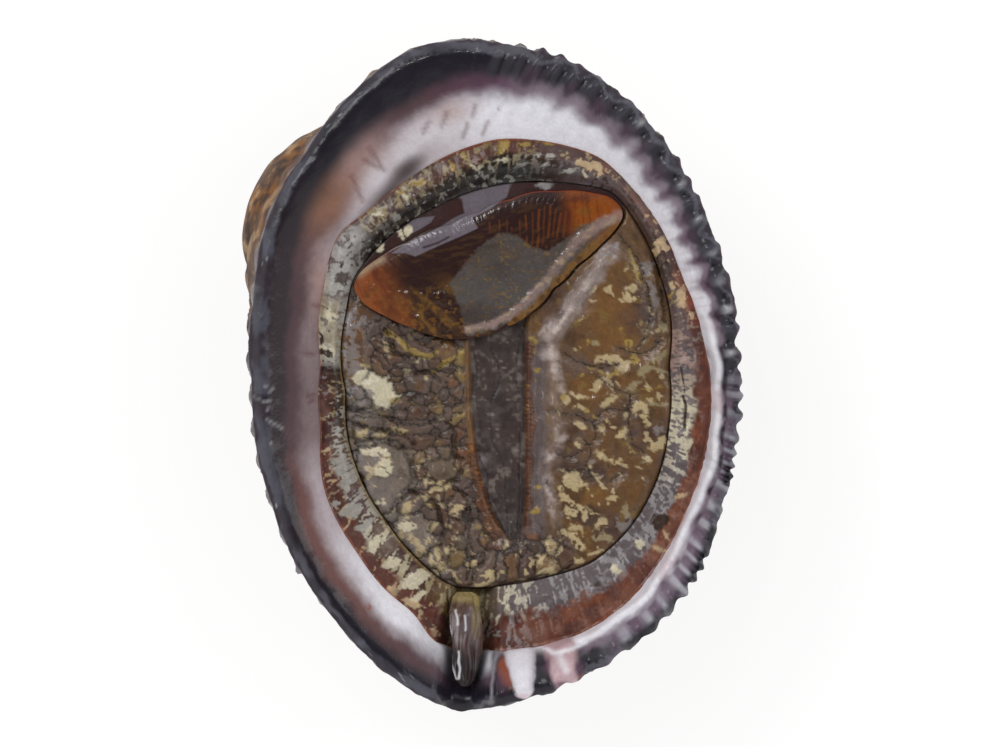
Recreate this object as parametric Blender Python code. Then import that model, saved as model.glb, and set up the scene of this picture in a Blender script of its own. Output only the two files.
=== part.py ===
"""A young false abalone shell, lying on its back with its soft body drawn into the opening.

Lengths are in millimetres until the meshes are made, which are in metres. +Z is up and out of the
opening, +Y is the spire's end and -Y the end with the siphon's notch. The shell rests on a small flat
spot on its back, at Z = 0, under its centre.
"""
import math

import bmesh
import bpy
import numpy as np

MM = 0.001

# Driving heights
RIM_HEIGHT = 7.4
REST_CENTRE = (-0.89, 0.68)
LIP_DEPTH = 1.1
CAVITY_FLOOR = 0.9
SOFT_GAP = 0.12

# Outlines in plan, seen into the opening, and the centre they are measured from
CENTRE = (0.1, -0.1)
RIM_OUTLINE = [
    (-0.88, 9.36), (0.18, 9.22), (1.54, 8.97), (2.96, 8.25), (4.21, 7.19), (5.26, 5.75), (6.04, 4.08),
    (6.54, 2.64), (6.80, 0.36), (6.85, -0.97), (6.66, -2.53), (6.24, -4.03), (5.70, -5.56), (4.76, -6.81),
    (3.46, -7.78), (2.01, -8.61), (0.43, -9.14), (-1.07, -9.36), (-1.96, -8.94), (-3.29, -8.03),
    (-4.46, -6.75), (-5.38, -5.44), (-6.21, -3.44), (-6.65, -1.53), (-6.72, -0.30), (-6.65, 2.28),
    (-6.29, 4.33), (-5.26, 6.14), (-3.99, 7.78), (-2.46, 9.00)]
LIP_INNER_OUTLINE = [
    (0.10, 6.56), (1.62, 6.47), (2.96, 6.06), (4.01, 5.03), (4.74, 3.94), (5.24, 2.72), (5.85, 0.92),
    (6.07, -0.42), (5.90, -2.14), (5.46, -3.56), (4.68, -5.11), (3.68, -6.39), (2.49, -7.19),
    (0.82, -7.64), (-0.50, -7.72), (-1.60, -7.55), (-2.15, -6.64), (-3.07, -5.92), (-3.82, -4.89),
    (-4.68, -3.31), (-4.79, -1.53), (-4.79, 0.33), (-4.71, 2.50), (-4.32, 3.94), (-3.51, 4.53),
    (-2.51, 5.33), (-1.49, 6.00)]
FOOT_OUTLINE = [
    (1.85, 5.35), (3.35, 5.10), (4.07, 4.08), (4.68, 2.64), (4.93, 1.69), (4.88, 0.25), (4.88, -1.42),
    (4.40, -3.28), (3.74, -4.33), (2.74, -5.22), (1.54, -5.61), (0.38, -5.83), (-0.49, -5.95),
    (-1.24, -5.86), (-2.07, -5.17), (-2.99, -4.06), (-3.82, -2.56), (-4.10, -0.50), (-4.25, 0.42),
    (-4.10, 1.72), (-3.93, 2.60), (-3.00, 3.75), (-1.49, 4.72), (0.18, 5.30)]

# The ribs of the outer lip: the bearing of each crest, clockwise from the top
RIB_BEARINGS = [
    90, 85.5, 82, 78.5, 75, 71, 67.5, 64, 60.5, 56, 50.5, 45.5, 42, 37.5, 30.5, 23.5, 16, 12, 5.5, -1, -4,
    -8.5, -14.5, -17.5, -20.5, -22.5, -25, -31, -35, -40, -42.5, -45.5, -48.5, -53.5, -57.5, -63.5, -69,
    -75, -80.5]
RIB_RADIUS_STEP = 0.12
RIB_EDGE_DROP = 0.08
RIB_BACK_HEIGHT = 0.17
SMOOTH_LIP_STEP = 6.0
SPIRE_BEARINGS = (122, 126, 130, 133, 136, 139, 142, 145, 148, 152, 156, 160)
NOTCH_BEARINGS = (258, 260.5, 262.5, 264.5, 266.5, 269)

# The back: growth ledges as shares of the way from the spire to the lip, and the spire itself
LEDGE_SHARES = (0.88, 0.74, 0.58, 0.42)
LEDGE_HEIGHT = 0.16
LEDGE_RUN = 0.02
SPIRE_SHARES = (0.29, 0.20, 0.13, 0.075, 0.035)
SPIRE_FOOT = (-5.55, 4.45)
SPIRE_CENTRE = (-4.70, 3.70, 4.3)
SPIRE_RADII = (2.25, 3.00, 2.60)
SPIRE_BLEND = 0.25
SPIRE_TIP = (-6.37, 5.15, 3.1)
COIL_DEPTH = 0.30
COIL_GROWTH = 1.9
COIL_REACH = 2.4
FLAT_SHARE = 0.27

# The notch and the two teeth beside it
NOTCH_BEARING = -96.5
NOTCH_HALF_WIDTH = 3.6
NOTCH_DEPTH = 1.05
TEETH = [((0.74, -8.25), 0.34, 0.55, 0.62), ((1.95, -8.10), 0.42, 0.40, 0.34)]

# Soft parts
MANTLE_LEVEL = 6.25
FOOT_LEVEL = 6.05
SOLE_LEFT = [(-0.65, 0.9), (-0.60, -1.1), (-0.38, -2.7), (-0.13, -3.6), (0.30, -4.5)]
SOLE_RIGHT = [(0.90, 0.9), (0.88, -0.7), (0.88, -2.1), (0.90, -3.3), (0.80, -4.5)]
SOLE_DEPTH = 0.75
SOLE_EDGE_WIDTH = 0.14
FOOT_SECTIONS = 28
FOOT_LIFT = 0.28
OPERCULUM_OUTLINE = [
    (-3.93, 2.44), (-3.71, 2.89), (-3.21, 3.25), (-2.32, 3.75), (-1.21, 4.17), (-0.38, 4.53), (0.49, 4.90),
    (1.74, 5.12), (2.74, 5.08), (3.26, 4.97), (3.58, 4.66), (3.62, 4.40), (3.40, 4.05), (2.96, 3.61),
    (2.29, 3.05), (1.65, 2.42), (1.07, 1.77), (0.32, 1.33), (-0.38, 1.06), (-0.88, 1.00), (-1.51, 1.05),
    (-2.26, 1.31), (-3.01, 1.64), (-3.65, 2.00)]
OPERCULUM_CENTRE = (0.1, 3.0)
OPERCULUM_LEVEL = 6.12
OPERCULUM_SLOPE = 0.06
OPERCULUM_THICKNESS = 0.20
LEFT_LOBE_LUMPS = [
    (-3.3, 0.7, 0.55), (-2.4, 0.9, 0.45), (-1.5, 0.6, 0.45), (-3.4, -0.6, 0.60), (-2.4, -0.3, 0.45),
    (-1.5, -0.5, 0.45), (-3.1, -2.0, 0.75), (-2.1, -1.4, 0.45), (-1.4, -1.7, 0.40), (-2.4, -3.1, 0.60),
    (-1.5, -2.8, 0.45), (-1.0, -3.9, 0.45), (-1.9, -4.1, 0.50), (-1.2, -5.0, 0.50), (-0.4, -5.1, 0.35)]
RIGHT_LOBE_LUMPS = [
    (1.8, 0.9, 0.55), (2.7, 2.2, 0.60), (3.6, 1.0, 0.75), (2.5, -0.4, 0.60), (3.9, -0.9, 0.70),
    (1.7, -1.6, 0.50), (3.0, -2.1, 0.70), (1.8, -3.2, 0.60), (3.4, -3.4, 0.60), (2.3, -4.4, 0.55),
    (1.3, -4.9, 0.45)]
LUMP_HEIGHT = 0.16
SIPHON_RADIUS = 0.42
SIPHON_POINTS = [
    (-0.80, -6.05, 6.36, 0.50), (-0.79, -6.18, 6.38, 0.85), (-0.77, -6.60, 6.44, 1.00),
    (-0.74, -7.20, 6.50, 1.00), (-0.74, -7.75, 6.58, 0.92), (-0.76, -8.20, 6.68, 0.80),
    (-0.79, -8.50, 6.76, 0.58), (-0.80, -8.66, 6.80, 0.25)]


def clear_scene():
    for thing in list(bpy.data.objects):
        bpy.data.objects.remove(thing, do_unlink=True)


def make_material(name, colour, roughness):
    material = bpy.data.materials.new(name)
    material.use_nodes = True
    shader = material.node_tree.nodes["Principled BSDF"]
    shader.inputs["Base Color"].default_value = (*colour, 1.0)
    shader.inputs["Roughness"].default_value = roughness
    shader.inputs["Metallic"].default_value = 0.0
    return material


def polar_outline(points, centre, blur_degrees=2.0):
    """The outline's distance from centre as a smooth function of the bearing in radians."""
    offsets = np.array(points) - np.array(centre)
    bearings = np.arctan2(offsets[:, 1], offsets[:, 0])
    distances = np.hypot(offsets[:, 0], offsets[:, 1])
    table_bearings = np.linspace(-math.pi, math.pi, 720, endpoint=False)
    table = np.interp(table_bearings, bearings, distances, period=2 * math.pi)
    harmonics = np.arange(361)
    damping = np.exp(-0.5 * (harmonics * math.radians(blur_degrees)) ** 2)
    smooth = np.fft.irfft(np.fft.rfft(table) * damping, 720)
    return lambda bearing: np.interp(bearing, table_bearings, smooth, period=2 * math.pi)


rim_distance = polar_outline(RIM_OUTLINE, CENTRE)
rim_from_rest = polar_outline(RIM_OUTLINE, REST_CENTRE)
lip_inner_distance = polar_outline(LIP_INNER_OUTLINE, CENTRE)
foot_distance = polar_outline(FOOT_OUTLINE, CENTRE)
operculum_distance = polar_outline(OPERCULUM_OUTLINE, OPERCULUM_CENTRE, 1.5)


def smooth_step(low, high, value):
    share = np.clip((value - low) / (high - low), 0.0, 1.0)
    return share * share * (3.0 - 2.0 * share)


def rib_relief(bearing):
    """1 on a rib's crest, 0 in a furrow, and a half on the smooth lip."""
    degrees = (np.degrees(bearing) + 180.0) % 360.0 - 180.0
    crests = np.array(RIB_BEARINGS[::-1], dtype=float)
    phase = np.interp(degrees, crests, np.arange(len(crests)))
    wave = 0.5 + 0.5 * np.cos(2 * math.pi * phase)
    ribbed = smooth_step(-86.0, -78.0, degrees) * (1.0 - smooth_step(88.0, 98.0, degrees))
    return 0.5 + (wave - 0.5) * ribbed


def column_bearings():
    """Three mesh columns for each rib, and fewer round the smooth lip, in radians."""
    bearings = []
    for first, second in zip(RIB_BEARINGS, RIB_BEARINGS[1:]):
        bearings += [first + (second - first) * part / 3 for part in range(3)]
    bearings.append(RIB_BEARINGS[-1])
    smooth_lip = np.arange(RIB_BEARINGS[0] + 4.0, RIB_BEARINGS[-1] + 358.0, SMOOTH_LIP_STEP)
    for close_set in (SPIRE_BEARINGS, NOTCH_BEARINGS):
        beside = (smooth_lip > close_set[0] - 2.0) & (smooth_lip < close_set[-1] + 2.0)
        smooth_lip = np.concatenate([smooth_lip[~beside], close_set])
    return np.radians(np.sort([*bearings, *smooth_lip]))


def notch(bearing):
    """1 in the middle of the siphon's notch, falling to 0 at its sides."""
    degrees = (np.degrees(bearing) - NOTCH_BEARING + 180.0) % 360.0 - 180.0
    return np.exp(-(degrees / NOTCH_HALF_WIDTH) ** 4)


def dome_height(x, y, base, top):
    """A bowl: flat at base in the middle, rising to top at share 1, steeper on the spire's side."""
    bearing = np.arctan2(y, x)
    share = np.hypot(x, y)
    left = 0.5 - 0.5 * np.cos(bearing)
    rise = 1.75 + 0.85 * left
    wall = 1.45 + 0.65 * left
    return base + (top - base) * (1.0 - (1.0 - np.clip(share, 0, 1) ** rise) ** (1.0 / wall))


def plan_share(x, y, distance, centre=CENTRE):
    """The plan point as a share of the way from the centre to an outline, kept as a vector."""
    dx = x - centre[0]
    dy = y - centre[1]
    reach = distance(np.arctan2(dy, dx))
    return dx / reach, dy / reach


def outside_height(x, y):
    share_x, share_y = plan_share(x, y, rim_from_rest, REST_CENTRE)
    share = np.maximum(np.hypot(share_x, share_y), 1e-6)
    raised = np.clip((share - FLAT_SHARE) / (1.0 - FLAT_SHARE), 0.0, 1.0)
    return dome_height(share_x / share * raised, share_y / share * raised, 0.0, RIM_HEIGHT)


def cavity_height(x, y):
    share_x, share_y = plan_share(x, y, lip_inner_distance)
    return dome_height(share_x, share_y, CAVITY_FLOOR, RIM_HEIGHT - LIP_DEPTH)


def cavity_ring(bearing, share):
    reach = lip_inner_distance(bearing) * share
    x = CENTRE[0] + reach * np.cos(bearing)
    y = CENTRE[1] + reach * np.sin(bearing)
    z = cavity_height(x, y) - NOTCH_DEPTH * notch(bearing) * smooth_step(0.8, 1.0, share)
    return np.stack([x, y, z], axis=-1)


def lip_ring(bearing, share):
    """A ring of the lip's face: share 0 is its inner edge and 1 is the rim."""
    relief = rib_relief(bearing)
    inner = lip_inner_distance(bearing)
    outer = rim_distance(bearing) + RIB_RADIUS_STEP * (relief - 0.5) * share
    reach = inner + (outer - inner) * share
    x = CENTRE[0] + reach * np.cos(bearing)
    y = CENTRE[1] + reach * np.sin(bearing)
    z = RIM_HEIGHT - LIP_DEPTH * (1.0 - share) ** 2 - RIB_EDGE_DROP * (1.0 - relief) * share
    z = z - NOTCH_DEPTH * (1.0 - 0.45 * share) * notch(bearing)
    for (tooth_x, tooth_y), half_width, half_length, height in TEETH:
        across = ((x - tooth_x) / half_width) ** 2
        along = ((y - tooth_y) / half_length) ** 2
        z = z + height * np.exp(-across - along) * (1.0 - 0.5 * share)
    return np.stack([x, y, z], axis=-1)


def back_ring(bearing, share, ledge):
    """A ring of the back, at a share of the way from the spire's foot to the lip."""
    rim = lip_ring(bearing, 1.0)
    x = SPIRE_FOOT[0] + (rim[:, 0] - SPIRE_FOOT[0]) * share
    y = SPIRE_FOOT[1] + (rim[:, 1] - SPIRE_FOOT[1]) * share
    z = outside_height(x, y)
    points = np.stack([x, y, z], axis=-1)
    outward = points - np.array([*CENTRE, RIM_HEIGHT * 0.9])
    outward /= np.linalg.norm(outward, axis=1)[:, None]
    near_lip = smooth_step(RIM_HEIGHT, RIM_HEIGHT - 1.0, z)
    span = np.hypot(rim[:, 0] - SPIRE_FOOT[0], rim[:, 1] - SPIRE_FOOT[1])
    ledge = ledge * smooth_step(2.0, 8.0, span)
    relief = RIB_BACK_HEIGHT * (rib_relief(bearing) - 0.5) * min(1.0, share * 2.0)
    points += outward * ((relief + ledge) * near_lip)[:, None]
    round_spire = np.arctan2(rim[:, 1] - SPIRE_FOOT[1], rim[:, 0] - SPIRE_FOOT[0])
    points = push_spire(points, round_spire)
    points[:, 2] = np.where(points[:, 2] < 0.0, 0.0, points[:, 2])
    return points


def push_spire(points, round_spire):
    """Swell the left of the back into the globe of the spire, with its coil as a winding furrow."""
    centre = np.array(SPIRE_CENTRE)
    offsets = (points - centre) / np.array(SPIRE_RADII)
    reach = np.linalg.norm(offsets, axis=1)
    short = 1.0 - reach
    pushed = reach + 0.5 * (short + np.sqrt(short ** 2 + SPIRE_BLEND ** 2))
    from_tip = np.linalg.norm(points - np.array(SPIRE_TIP), axis=1) + 0.05
    turns = np.log(from_tip) / math.log(COIL_GROWTH) + round_spire / (2 * math.pi)
    furrow = (1.0 - np.abs(np.sin(math.pi * turns))) ** 2
    coil = COIL_DEPTH * furrow * np.minimum(from_tip, 1.0) * np.exp(-(from_tip / COIL_REACH) ** 4)
    below_rim = 1.0 - smooth_step(RIM_HEIGHT - 1.3, RIM_HEIGHT - 0.1, points[:, 2])
    target = centre + (points - centre) * ((pushed - coil / 2.4) / reach)[:, None]
    return points + (target - points) * (below_rim * smooth_step(1.9, 1.3, reach))[:, None]


def loft(name, rings, first_pole, last_pole, material):
    """Skin closed rings of points, one below the next, and close both ends on a point."""
    mesh = bpy.data.meshes.new(name)
    work = bmesh.new()
    rows = [[work.verts.new(np.array(point) * MM) for point in ring] for ring in rings]
    count = len(rows[0])
    for upper, lower in zip(rows, rows[1:]):
        for i in range(count):
            j = (i + 1) % count
            work.faces.new((upper[i], upper[j], lower[j], lower[i]))
    for ring, pole in ((rows[0], first_pole), (rows[-1], last_pole)):
        tip = work.verts.new(np.array(pole) * MM)
        for i in range(count):
            work.faces.new((ring[i], ring[(i + 1) % count], tip))
    bmesh.ops.recalc_face_normals(work, faces=work.faces)
    bmesh.ops.triangulate(work, faces=work.faces)
    work.to_mesh(mesh)
    work.free()
    mesh.materials.append(material)
    mesh.shade_smooth()
    thing = bpy.data.objects.new(name, mesh)
    bpy.context.scene.collection.objects.link(thing)
    return thing


def build_shell():
    bearing = column_bearings()
    rings = [cavity_ring(bearing, share) for share in (0.38, 0.68, 0.86, 0.95)]
    rings += [lip_ring(bearing, share) for share in (0.0, 0.30, 0.62, 1.0)]
    rings += [back_ring(bearing, share, 0.0) for share in (0.985, 0.95)]
    for share in LEDGE_SHARES:
        rings.append(back_ring(bearing, share + LEDGE_RUN, 0.0))
        rings.append(back_ring(bearing, share - LEDGE_RUN, LEDGE_HEIGHT))
    rings += [back_ring(bearing, share, 0.0) for share in SPIRE_SHARES]
    floor_pole = (*CENTRE, CAVITY_FLOOR)
    apex = np.array([[*SPIRE_FOOT, outside_height(*SPIRE_FOOT)]])
    apex_pole = push_spire(apex, np.zeros(1))[0]
    colour = (0.20, 0.14, 0.12)
    loft("shell", rings, floor_pole, apex_pole, make_material("shell", colour, 0.35))


def bowl_ring(bearing, distance, top):
    x = CENTRE[0] + distance * np.cos(bearing)
    y = CENTRE[1] + distance * np.sin(bearing)
    return np.stack([x, y, np.broadcast_to(top, x.shape)], axis=-1)


def rest_on_cavity(ring, lift):
    """Set a ring's height to the cavity's wall plus a lift."""
    ring = ring.copy()
    ring[:, 2] = cavity_height(ring[:, 0], ring[:, 1]) + lift
    return ring


def build_mantle():
    """A closed ring of skin: its section runs from the lip, over its crest, to the foot and back below."""
    bearing = np.radians(np.arange(-180.0, 180.0, 5.0))
    outer = lip_inner_distance(bearing) * 0.985
    inner = foot_distance(bearing) + SOFT_GAP
    middle = 0.5 * (outer + inner)
    siphon_bed = 0.72 * np.exp(-((np.degrees(bearing) - NOTCH_BEARING) / 8.0) ** 4)
    crest = MANTLE_LEVEL + 0.12 - siphon_bed
    section = [
        bowl_ring(bearing, outer, MANTLE_LEVEL - siphon_bed),
        bowl_ring(bearing, middle, crest),
        bowl_ring(bearing, inner, MANTLE_LEVEL - 0.25 - siphon_bed),
        rest_on_cavity(bowl_ring(bearing, inner, 0.0), 0.30),
        rest_on_cavity(bowl_ring(bearing, outer * 0.955, 0.0), 0.22)]
    mesh = bpy.data.meshes.new("mantle")
    work = bmesh.new()
    rows = [[work.verts.new(point * MM) for point in ring] for ring in section]
    count = len(bearing)
    for index, upper in enumerate(rows):
        lower = rows[(index + 1) % len(rows)]
        for i in range(count):
            j = (i + 1) % count
            work.faces.new((upper[i], upper[j], lower[j], lower[i]))
    bmesh.ops.recalc_face_normals(work, faces=work.faces)
    bmesh.ops.triangulate(work, faces=work.faces)
    work.to_mesh(mesh)
    work.free()
    mesh.materials.append(make_material("mantle", (0.28, 0.16, 0.10), 0.3))
    mesh.shade_smooth()
    bpy.context.scene.collection.objects.link(bpy.data.objects.new("mantle", mesh))


def sole_edge(edge, y):
    """The X of one side of the sole's groove at Y."""
    ascending = edge[::-1]
    return np.interp(y, [point[1] for point in ascending], [point[0] for point in ascending])


def sole_share(x, y):
    """1 in the groove of the sole and 0 outside it."""
    left = smooth_step(-SOLE_EDGE_WIDTH, SOLE_EDGE_WIDTH, x - sole_edge(SOLE_LEFT, y))
    right = smooth_step(-SOLE_EDGE_WIDTH, SOLE_EDGE_WIDTH, sole_edge(SOLE_RIGHT, y) - x)
    return left * right * smooth_step(-4.9, -4.1, y)


def operculum_under(x, y):
    return OPERCULUM_LEVEL - OPERCULUM_SLOPE * (y - OPERCULUM_CENTRE[1]) - OPERCULUM_THICKNESS / 2


def foot_height(x, y):
    """The foot's upper face: two lumpy lobes, the sole's groove, and a bed for the operculum."""
    share_x, share_y = plan_share(x, y, foot_distance)
    edge = np.hypot(share_x, share_y)
    z = FOOT_LEVEL - 0.35 * edge ** 6
    for lump_x, lump_y, half_width in LEFT_LOBE_LUMPS + RIGHT_LOBE_LUMPS:
        span = ((x - lump_x) ** 2 + (y - lump_y) ** 2) / half_width ** 2
        z = z + LUMP_HEIGHT * np.exp(-span)
    z = z - SOLE_DEPTH * sole_share(x, y)
    dx = x - OPERCULUM_CENTRE[0]
    dy = y - OPERCULUM_CENTRE[1]
    reach = operculum_distance(np.arctan2(dy, dx))
    beyond = np.hypot(dx, dy) - reach
    bed = operculum_under(x, y) - SOFT_GAP + 1.2 * np.maximum(beyond - 0.30, 0.0)
    above = smooth_step(-0.2, 0.5, (y - OPERCULUM_CENTRE[1]) - 0.24 * x - 0.9) * smooth_step(0.0, 0.3, beyond)
    return np.minimum(z, bed) - 0.3 * above


def foot_sides(y):
    """The foot's left and right edge at each Y, and its two ends."""
    bearing = np.radians(np.arange(0.0, 360.0, 0.5))
    edge = bowl_ring(bearing, foot_distance(bearing), 0.0)
    far_end = int(np.argmax(edge[:, 1]))
    edge = np.roll(edge, -far_end, axis=0)
    near_end = int(np.argmin(edge[:, 1]))
    left = edge[:near_end + 1][::-1]
    right = edge[near_end:]
    left_x = np.interp(y, left[:, 1], left[:, 0])
    right_x = np.interp(y, right[:, 1], right[:, 0])
    return left_x, right_x, edge[near_end], edge[0]


def foot_section(y, left_x, right_x):
    """One cross section of the foot: over the two lobes and the sole, and back along the cavity."""
    width = right_x - left_x
    sole_left = left_x + width * np.clip((sole_edge(SOLE_LEFT, y) - left_x) / width, 0.25, 0.60)
    sole_right = left_x + width * np.clip((sole_edge(SOLE_RIGHT, y) - left_x) / width, 0.45, 0.75)
    step = min(SOLE_EDGE_WIDTH, 0.08 * width)
    upper = np.concatenate([
        np.linspace(left_x, sole_left - step, 8),
        np.linspace(sole_left + step, sole_right - step, 3),
        np.linspace(sole_right + step, right_x, 8)])
    lower = np.linspace(right_x, left_x, 9)
    x = np.concatenate([upper, lower])
    section = np.stack([x, np.full(x.shape, y), np.zeros(x.shape)], axis=-1)
    count = len(upper)
    section[:count, 2] = foot_height(section[:count, 0], section[:count, 1])
    section[count:] = rest_on_cavity(section[count:], FOOT_LIFT)
    return section


def build_foot():
    _, _, near_end, far_end = foot_sides(0.0)
    way = 0.5 - 0.5 * np.cos(math.pi * np.arange(1, FOOT_SECTIONS) / FOOT_SECTIONS)
    rows = near_end[1] + (far_end[1] - near_end[1]) * (0.35 * way + 0.65 * np.linspace(0.02, 0.98, len(way)))
    rings = []
    for y in rows:
        left_x, right_x, _, _ = foot_sides(y)
        rings.append(foot_section(y, left_x, right_x))
    poles = [np.array([end[0], end[1], FOOT_LEVEL - 1.0]) for end in (near_end, far_end)]
    loft("foot", rings, poles[0], poles[1], make_material("foot", (0.16, 0.10, 0.05), 0.3))


def operculum_ring(share, side):
    bearing = np.radians(np.arange(-180.0, 180.0, 12.0))
    reach = operculum_distance(bearing) * share
    x = OPERCULUM_CENTRE[0] + reach * np.cos(bearing)
    y = OPERCULUM_CENTRE[1] + reach * np.sin(bearing)
    middle = operculum_under(x, y) + OPERCULUM_THICKNESS / 2
    thickness = OPERCULUM_THICKNESS * (1.0 - 0.55 * share ** 6)
    return np.stack([x, y, middle + side * thickness / 2], axis=-1)


def build_operculum():
    shares = (0.35, 0.7, 1.0)
    rings = [operculum_ring(share, 1.0) for share in shares]
    rings += [operculum_ring(share, -1.0) for share in shares[::-1]]
    middle = float(operculum_under(*OPERCULUM_CENTRE)) + OPERCULUM_THICKNESS / 2
    top_pole = (*OPERCULUM_CENTRE, middle + OPERCULUM_THICKNESS / 2)
    floor_pole = (*OPERCULUM_CENTRE, middle - OPERCULUM_THICKNESS / 2)
    loft("operculum", rings, top_pole, floor_pole, make_material("operculum", (0.12, 0.05, 0.02), 0.15))


def build_siphon():
    curve = bpy.data.curves.new("siphon", "CURVE")
    curve.dimensions = "3D"
    curve.bevel_depth = SIPHON_RADIUS * MM
    curve.bevel_resolution = 2
    curve.use_fill_caps = True
    spline = curve.splines.new("POLY")
    spline.points.add(len(SIPHON_POINTS) - 1)
    for point, (x, y, z, radius) in zip(spline.points, SIPHON_POINTS):
        point.co = (x * MM, y * MM, z * MM, 1.0)
        point.radius = radius
    curve.materials.append(make_material("siphon", (0.22, 0.18, 0.12), 0.25))
    bpy.context.scene.collection.objects.link(bpy.data.objects.new("siphon", curve))


def main():
    clear_scene()
    build_shell()
    build_mantle()
    build_foot()
    build_operculum()
    build_siphon()


main()
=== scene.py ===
"""The looks of a young false abalone shell with its soft body drawn in, seen into its opening.

Shapes are worked out in millimetres and made in metres. +Z is out of the opening, +Y the spire's end.
"""
import math

import bpy
import numpy as np
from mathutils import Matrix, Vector


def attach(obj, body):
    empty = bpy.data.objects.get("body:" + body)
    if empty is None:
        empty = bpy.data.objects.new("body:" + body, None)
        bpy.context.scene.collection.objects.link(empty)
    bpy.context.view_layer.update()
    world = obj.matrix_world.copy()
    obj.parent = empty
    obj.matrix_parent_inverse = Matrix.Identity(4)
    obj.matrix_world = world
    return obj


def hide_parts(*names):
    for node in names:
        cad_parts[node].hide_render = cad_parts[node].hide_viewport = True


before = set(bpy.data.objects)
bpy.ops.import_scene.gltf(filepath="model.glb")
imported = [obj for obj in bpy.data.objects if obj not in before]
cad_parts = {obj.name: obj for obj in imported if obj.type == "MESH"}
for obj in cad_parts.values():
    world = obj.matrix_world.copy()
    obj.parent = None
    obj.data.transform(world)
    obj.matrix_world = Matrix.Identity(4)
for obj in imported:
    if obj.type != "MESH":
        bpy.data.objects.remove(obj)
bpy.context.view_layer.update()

MM = 0.001

# Driving heights of the shell and its soft parts
RIM_HEIGHT = 7.4
REST_CENTRE = (-0.89, 0.68)
LIP_DEPTH = 1.1
CAVITY_FLOOR = 0.9
SOFT_GAP = 0.12
MANTLE_LEVEL = 6.25
FOOT_LEVEL = 6.05
OPERCULUM_LEVEL = 6.12
OPERCULUM_SLOPE = 0.06
OPERCULUM_THICKNESS = 0.2

# Outlines in plan, seen into the opening, and the centres that they are measured from
CENTRE = (0.1, -0.1)
RIM_OUTLINE = [
    (-0.88, 9.36), (0.18, 9.22), (1.54, 8.97), (2.96, 8.25), (4.21, 7.19), (5.26, 5.75), (6.04, 4.08),
    (6.54, 2.64), (6.8, 0.36), (6.85, -0.97), (6.66, -2.53), (6.24, -4.03), (5.7, -5.56), (4.76, -6.81),
    (3.46, -7.78), (2.01, -8.61), (0.43, -9.14), (-1.07, -9.36), (-1.96, -8.94), (-3.29, -8.03),
    (-4.46, -6.75), (-5.38, -5.44), (-6.21, -3.44), (-6.65, -1.53), (-6.72, -0.3), (-6.65, 2.28),
    (-6.29, 4.33), (-5.26, 6.14), (-3.99, 7.78), (-2.46, 9.0)]
LIP_INNER_OUTLINE = [
    (0.1, 6.56), (1.62, 6.47), (2.96, 6.06), (4.01, 5.03), (4.74, 3.94), (5.24, 2.72), (5.85, 0.92),
    (6.07, -0.42), (5.9, -2.14), (5.46, -3.56), (4.68, -5.11), (3.68, -6.39), (2.49, -7.19), (0.82, -7.64),
    (-0.5, -7.72), (-1.6, -7.55), (-2.15, -6.64), (-3.07, -5.92), (-3.82, -4.89), (-4.68, -3.31),
    (-4.79, -1.53), (-4.79, 0.33), (-4.71, 2.5), (-4.32, 3.94), (-3.51, 4.53), (-2.51, 5.33), (-1.49, 6.0)]
FOOT_OUTLINE = [
    (1.85, 5.35), (3.35, 5.1), (4.07, 4.08), (4.68, 2.64), (4.93, 1.69), (4.88, 0.25), (4.88, -1.42),
    (4.4, -3.28), (3.74, -4.33), (2.74, -5.22), (1.54, -5.61), (0.38, -5.83), (-0.49, -5.95),
    (-1.24, -5.86), (-2.07, -5.17), (-2.99, -4.06), (-3.82, -2.56), (-4.1, -0.5), (-4.25, 0.42),
    (-4.1, 1.72), (-3.93, 2.6), (-3.0, 3.75), (-1.49, 4.72), (0.18, 5.3)]
OPERCULUM_OUTLINE = [
    (-3.93, 2.44), (-3.71, 2.89), (-3.21, 3.25), (-2.32, 3.75), (-1.21, 4.17), (-0.38, 4.53), (0.49, 4.9),
    (1.74, 5.12), (2.74, 5.08), (3.26, 4.97), (3.58, 4.66), (3.62, 4.4), (3.4, 4.05), (2.96, 3.61),
    (2.29, 3.05), (1.65, 2.42), (1.07, 1.77), (0.32, 1.33), (-0.38, 1.06), (-0.88, 1.0), (-1.51, 1.05),
    (-2.26, 1.31), (-3.01, 1.64), (-3.65, 2.0)]
OPERCULUM_CENTRE = (0.1, 3.0)

# The ribs of the outer lip: the bearing of each crest, clockwise from the top
RIB_BEARINGS = [
    90, 85.5, 82, 78.5, 75, 71, 67.5, 64, 60.5, 56, 50.5, 45.5, 42, 37.5, 30.5, 23.5, 16, 12, 5.5, -1, -4,
    -8.5, -14.5, -17.5, -20.5, -22.5, -25, -31, -35, -40, -42.5, -45.5, -48.5, -53.5, -57.5, -63.5, -69,
    -75, -80.5]
RIB_RADIUS_STEP = 0.12
RIB_EDGE_DROP = 0.08
RIB_BACK_HEIGHT = 0.17

# The back: growth ledges as shares of the way from the spire to the lip, and the spire itself
LEDGE_SHARES = (0.88, 0.74, 0.58, 0.42)
LEDGE_HEIGHT = 0.16
LEDGE_RUN = 0.02
SPIRE_FOOT = (-5.55, 4.45)
SPIRE_CENTRE = (-4.7, 3.7, 4.3)
SPIRE_RADII = (2.25, 3.0, 2.6)
SPIRE_BLEND = 0.25
SPIRE_TIP = (-6.37, 5.15, 3.1)
COIL_DEPTH = 0.42
COIL_GROWTH = 1.9
COIL_REACH = 2.4
FLAT_SHARE = 0.27

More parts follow.
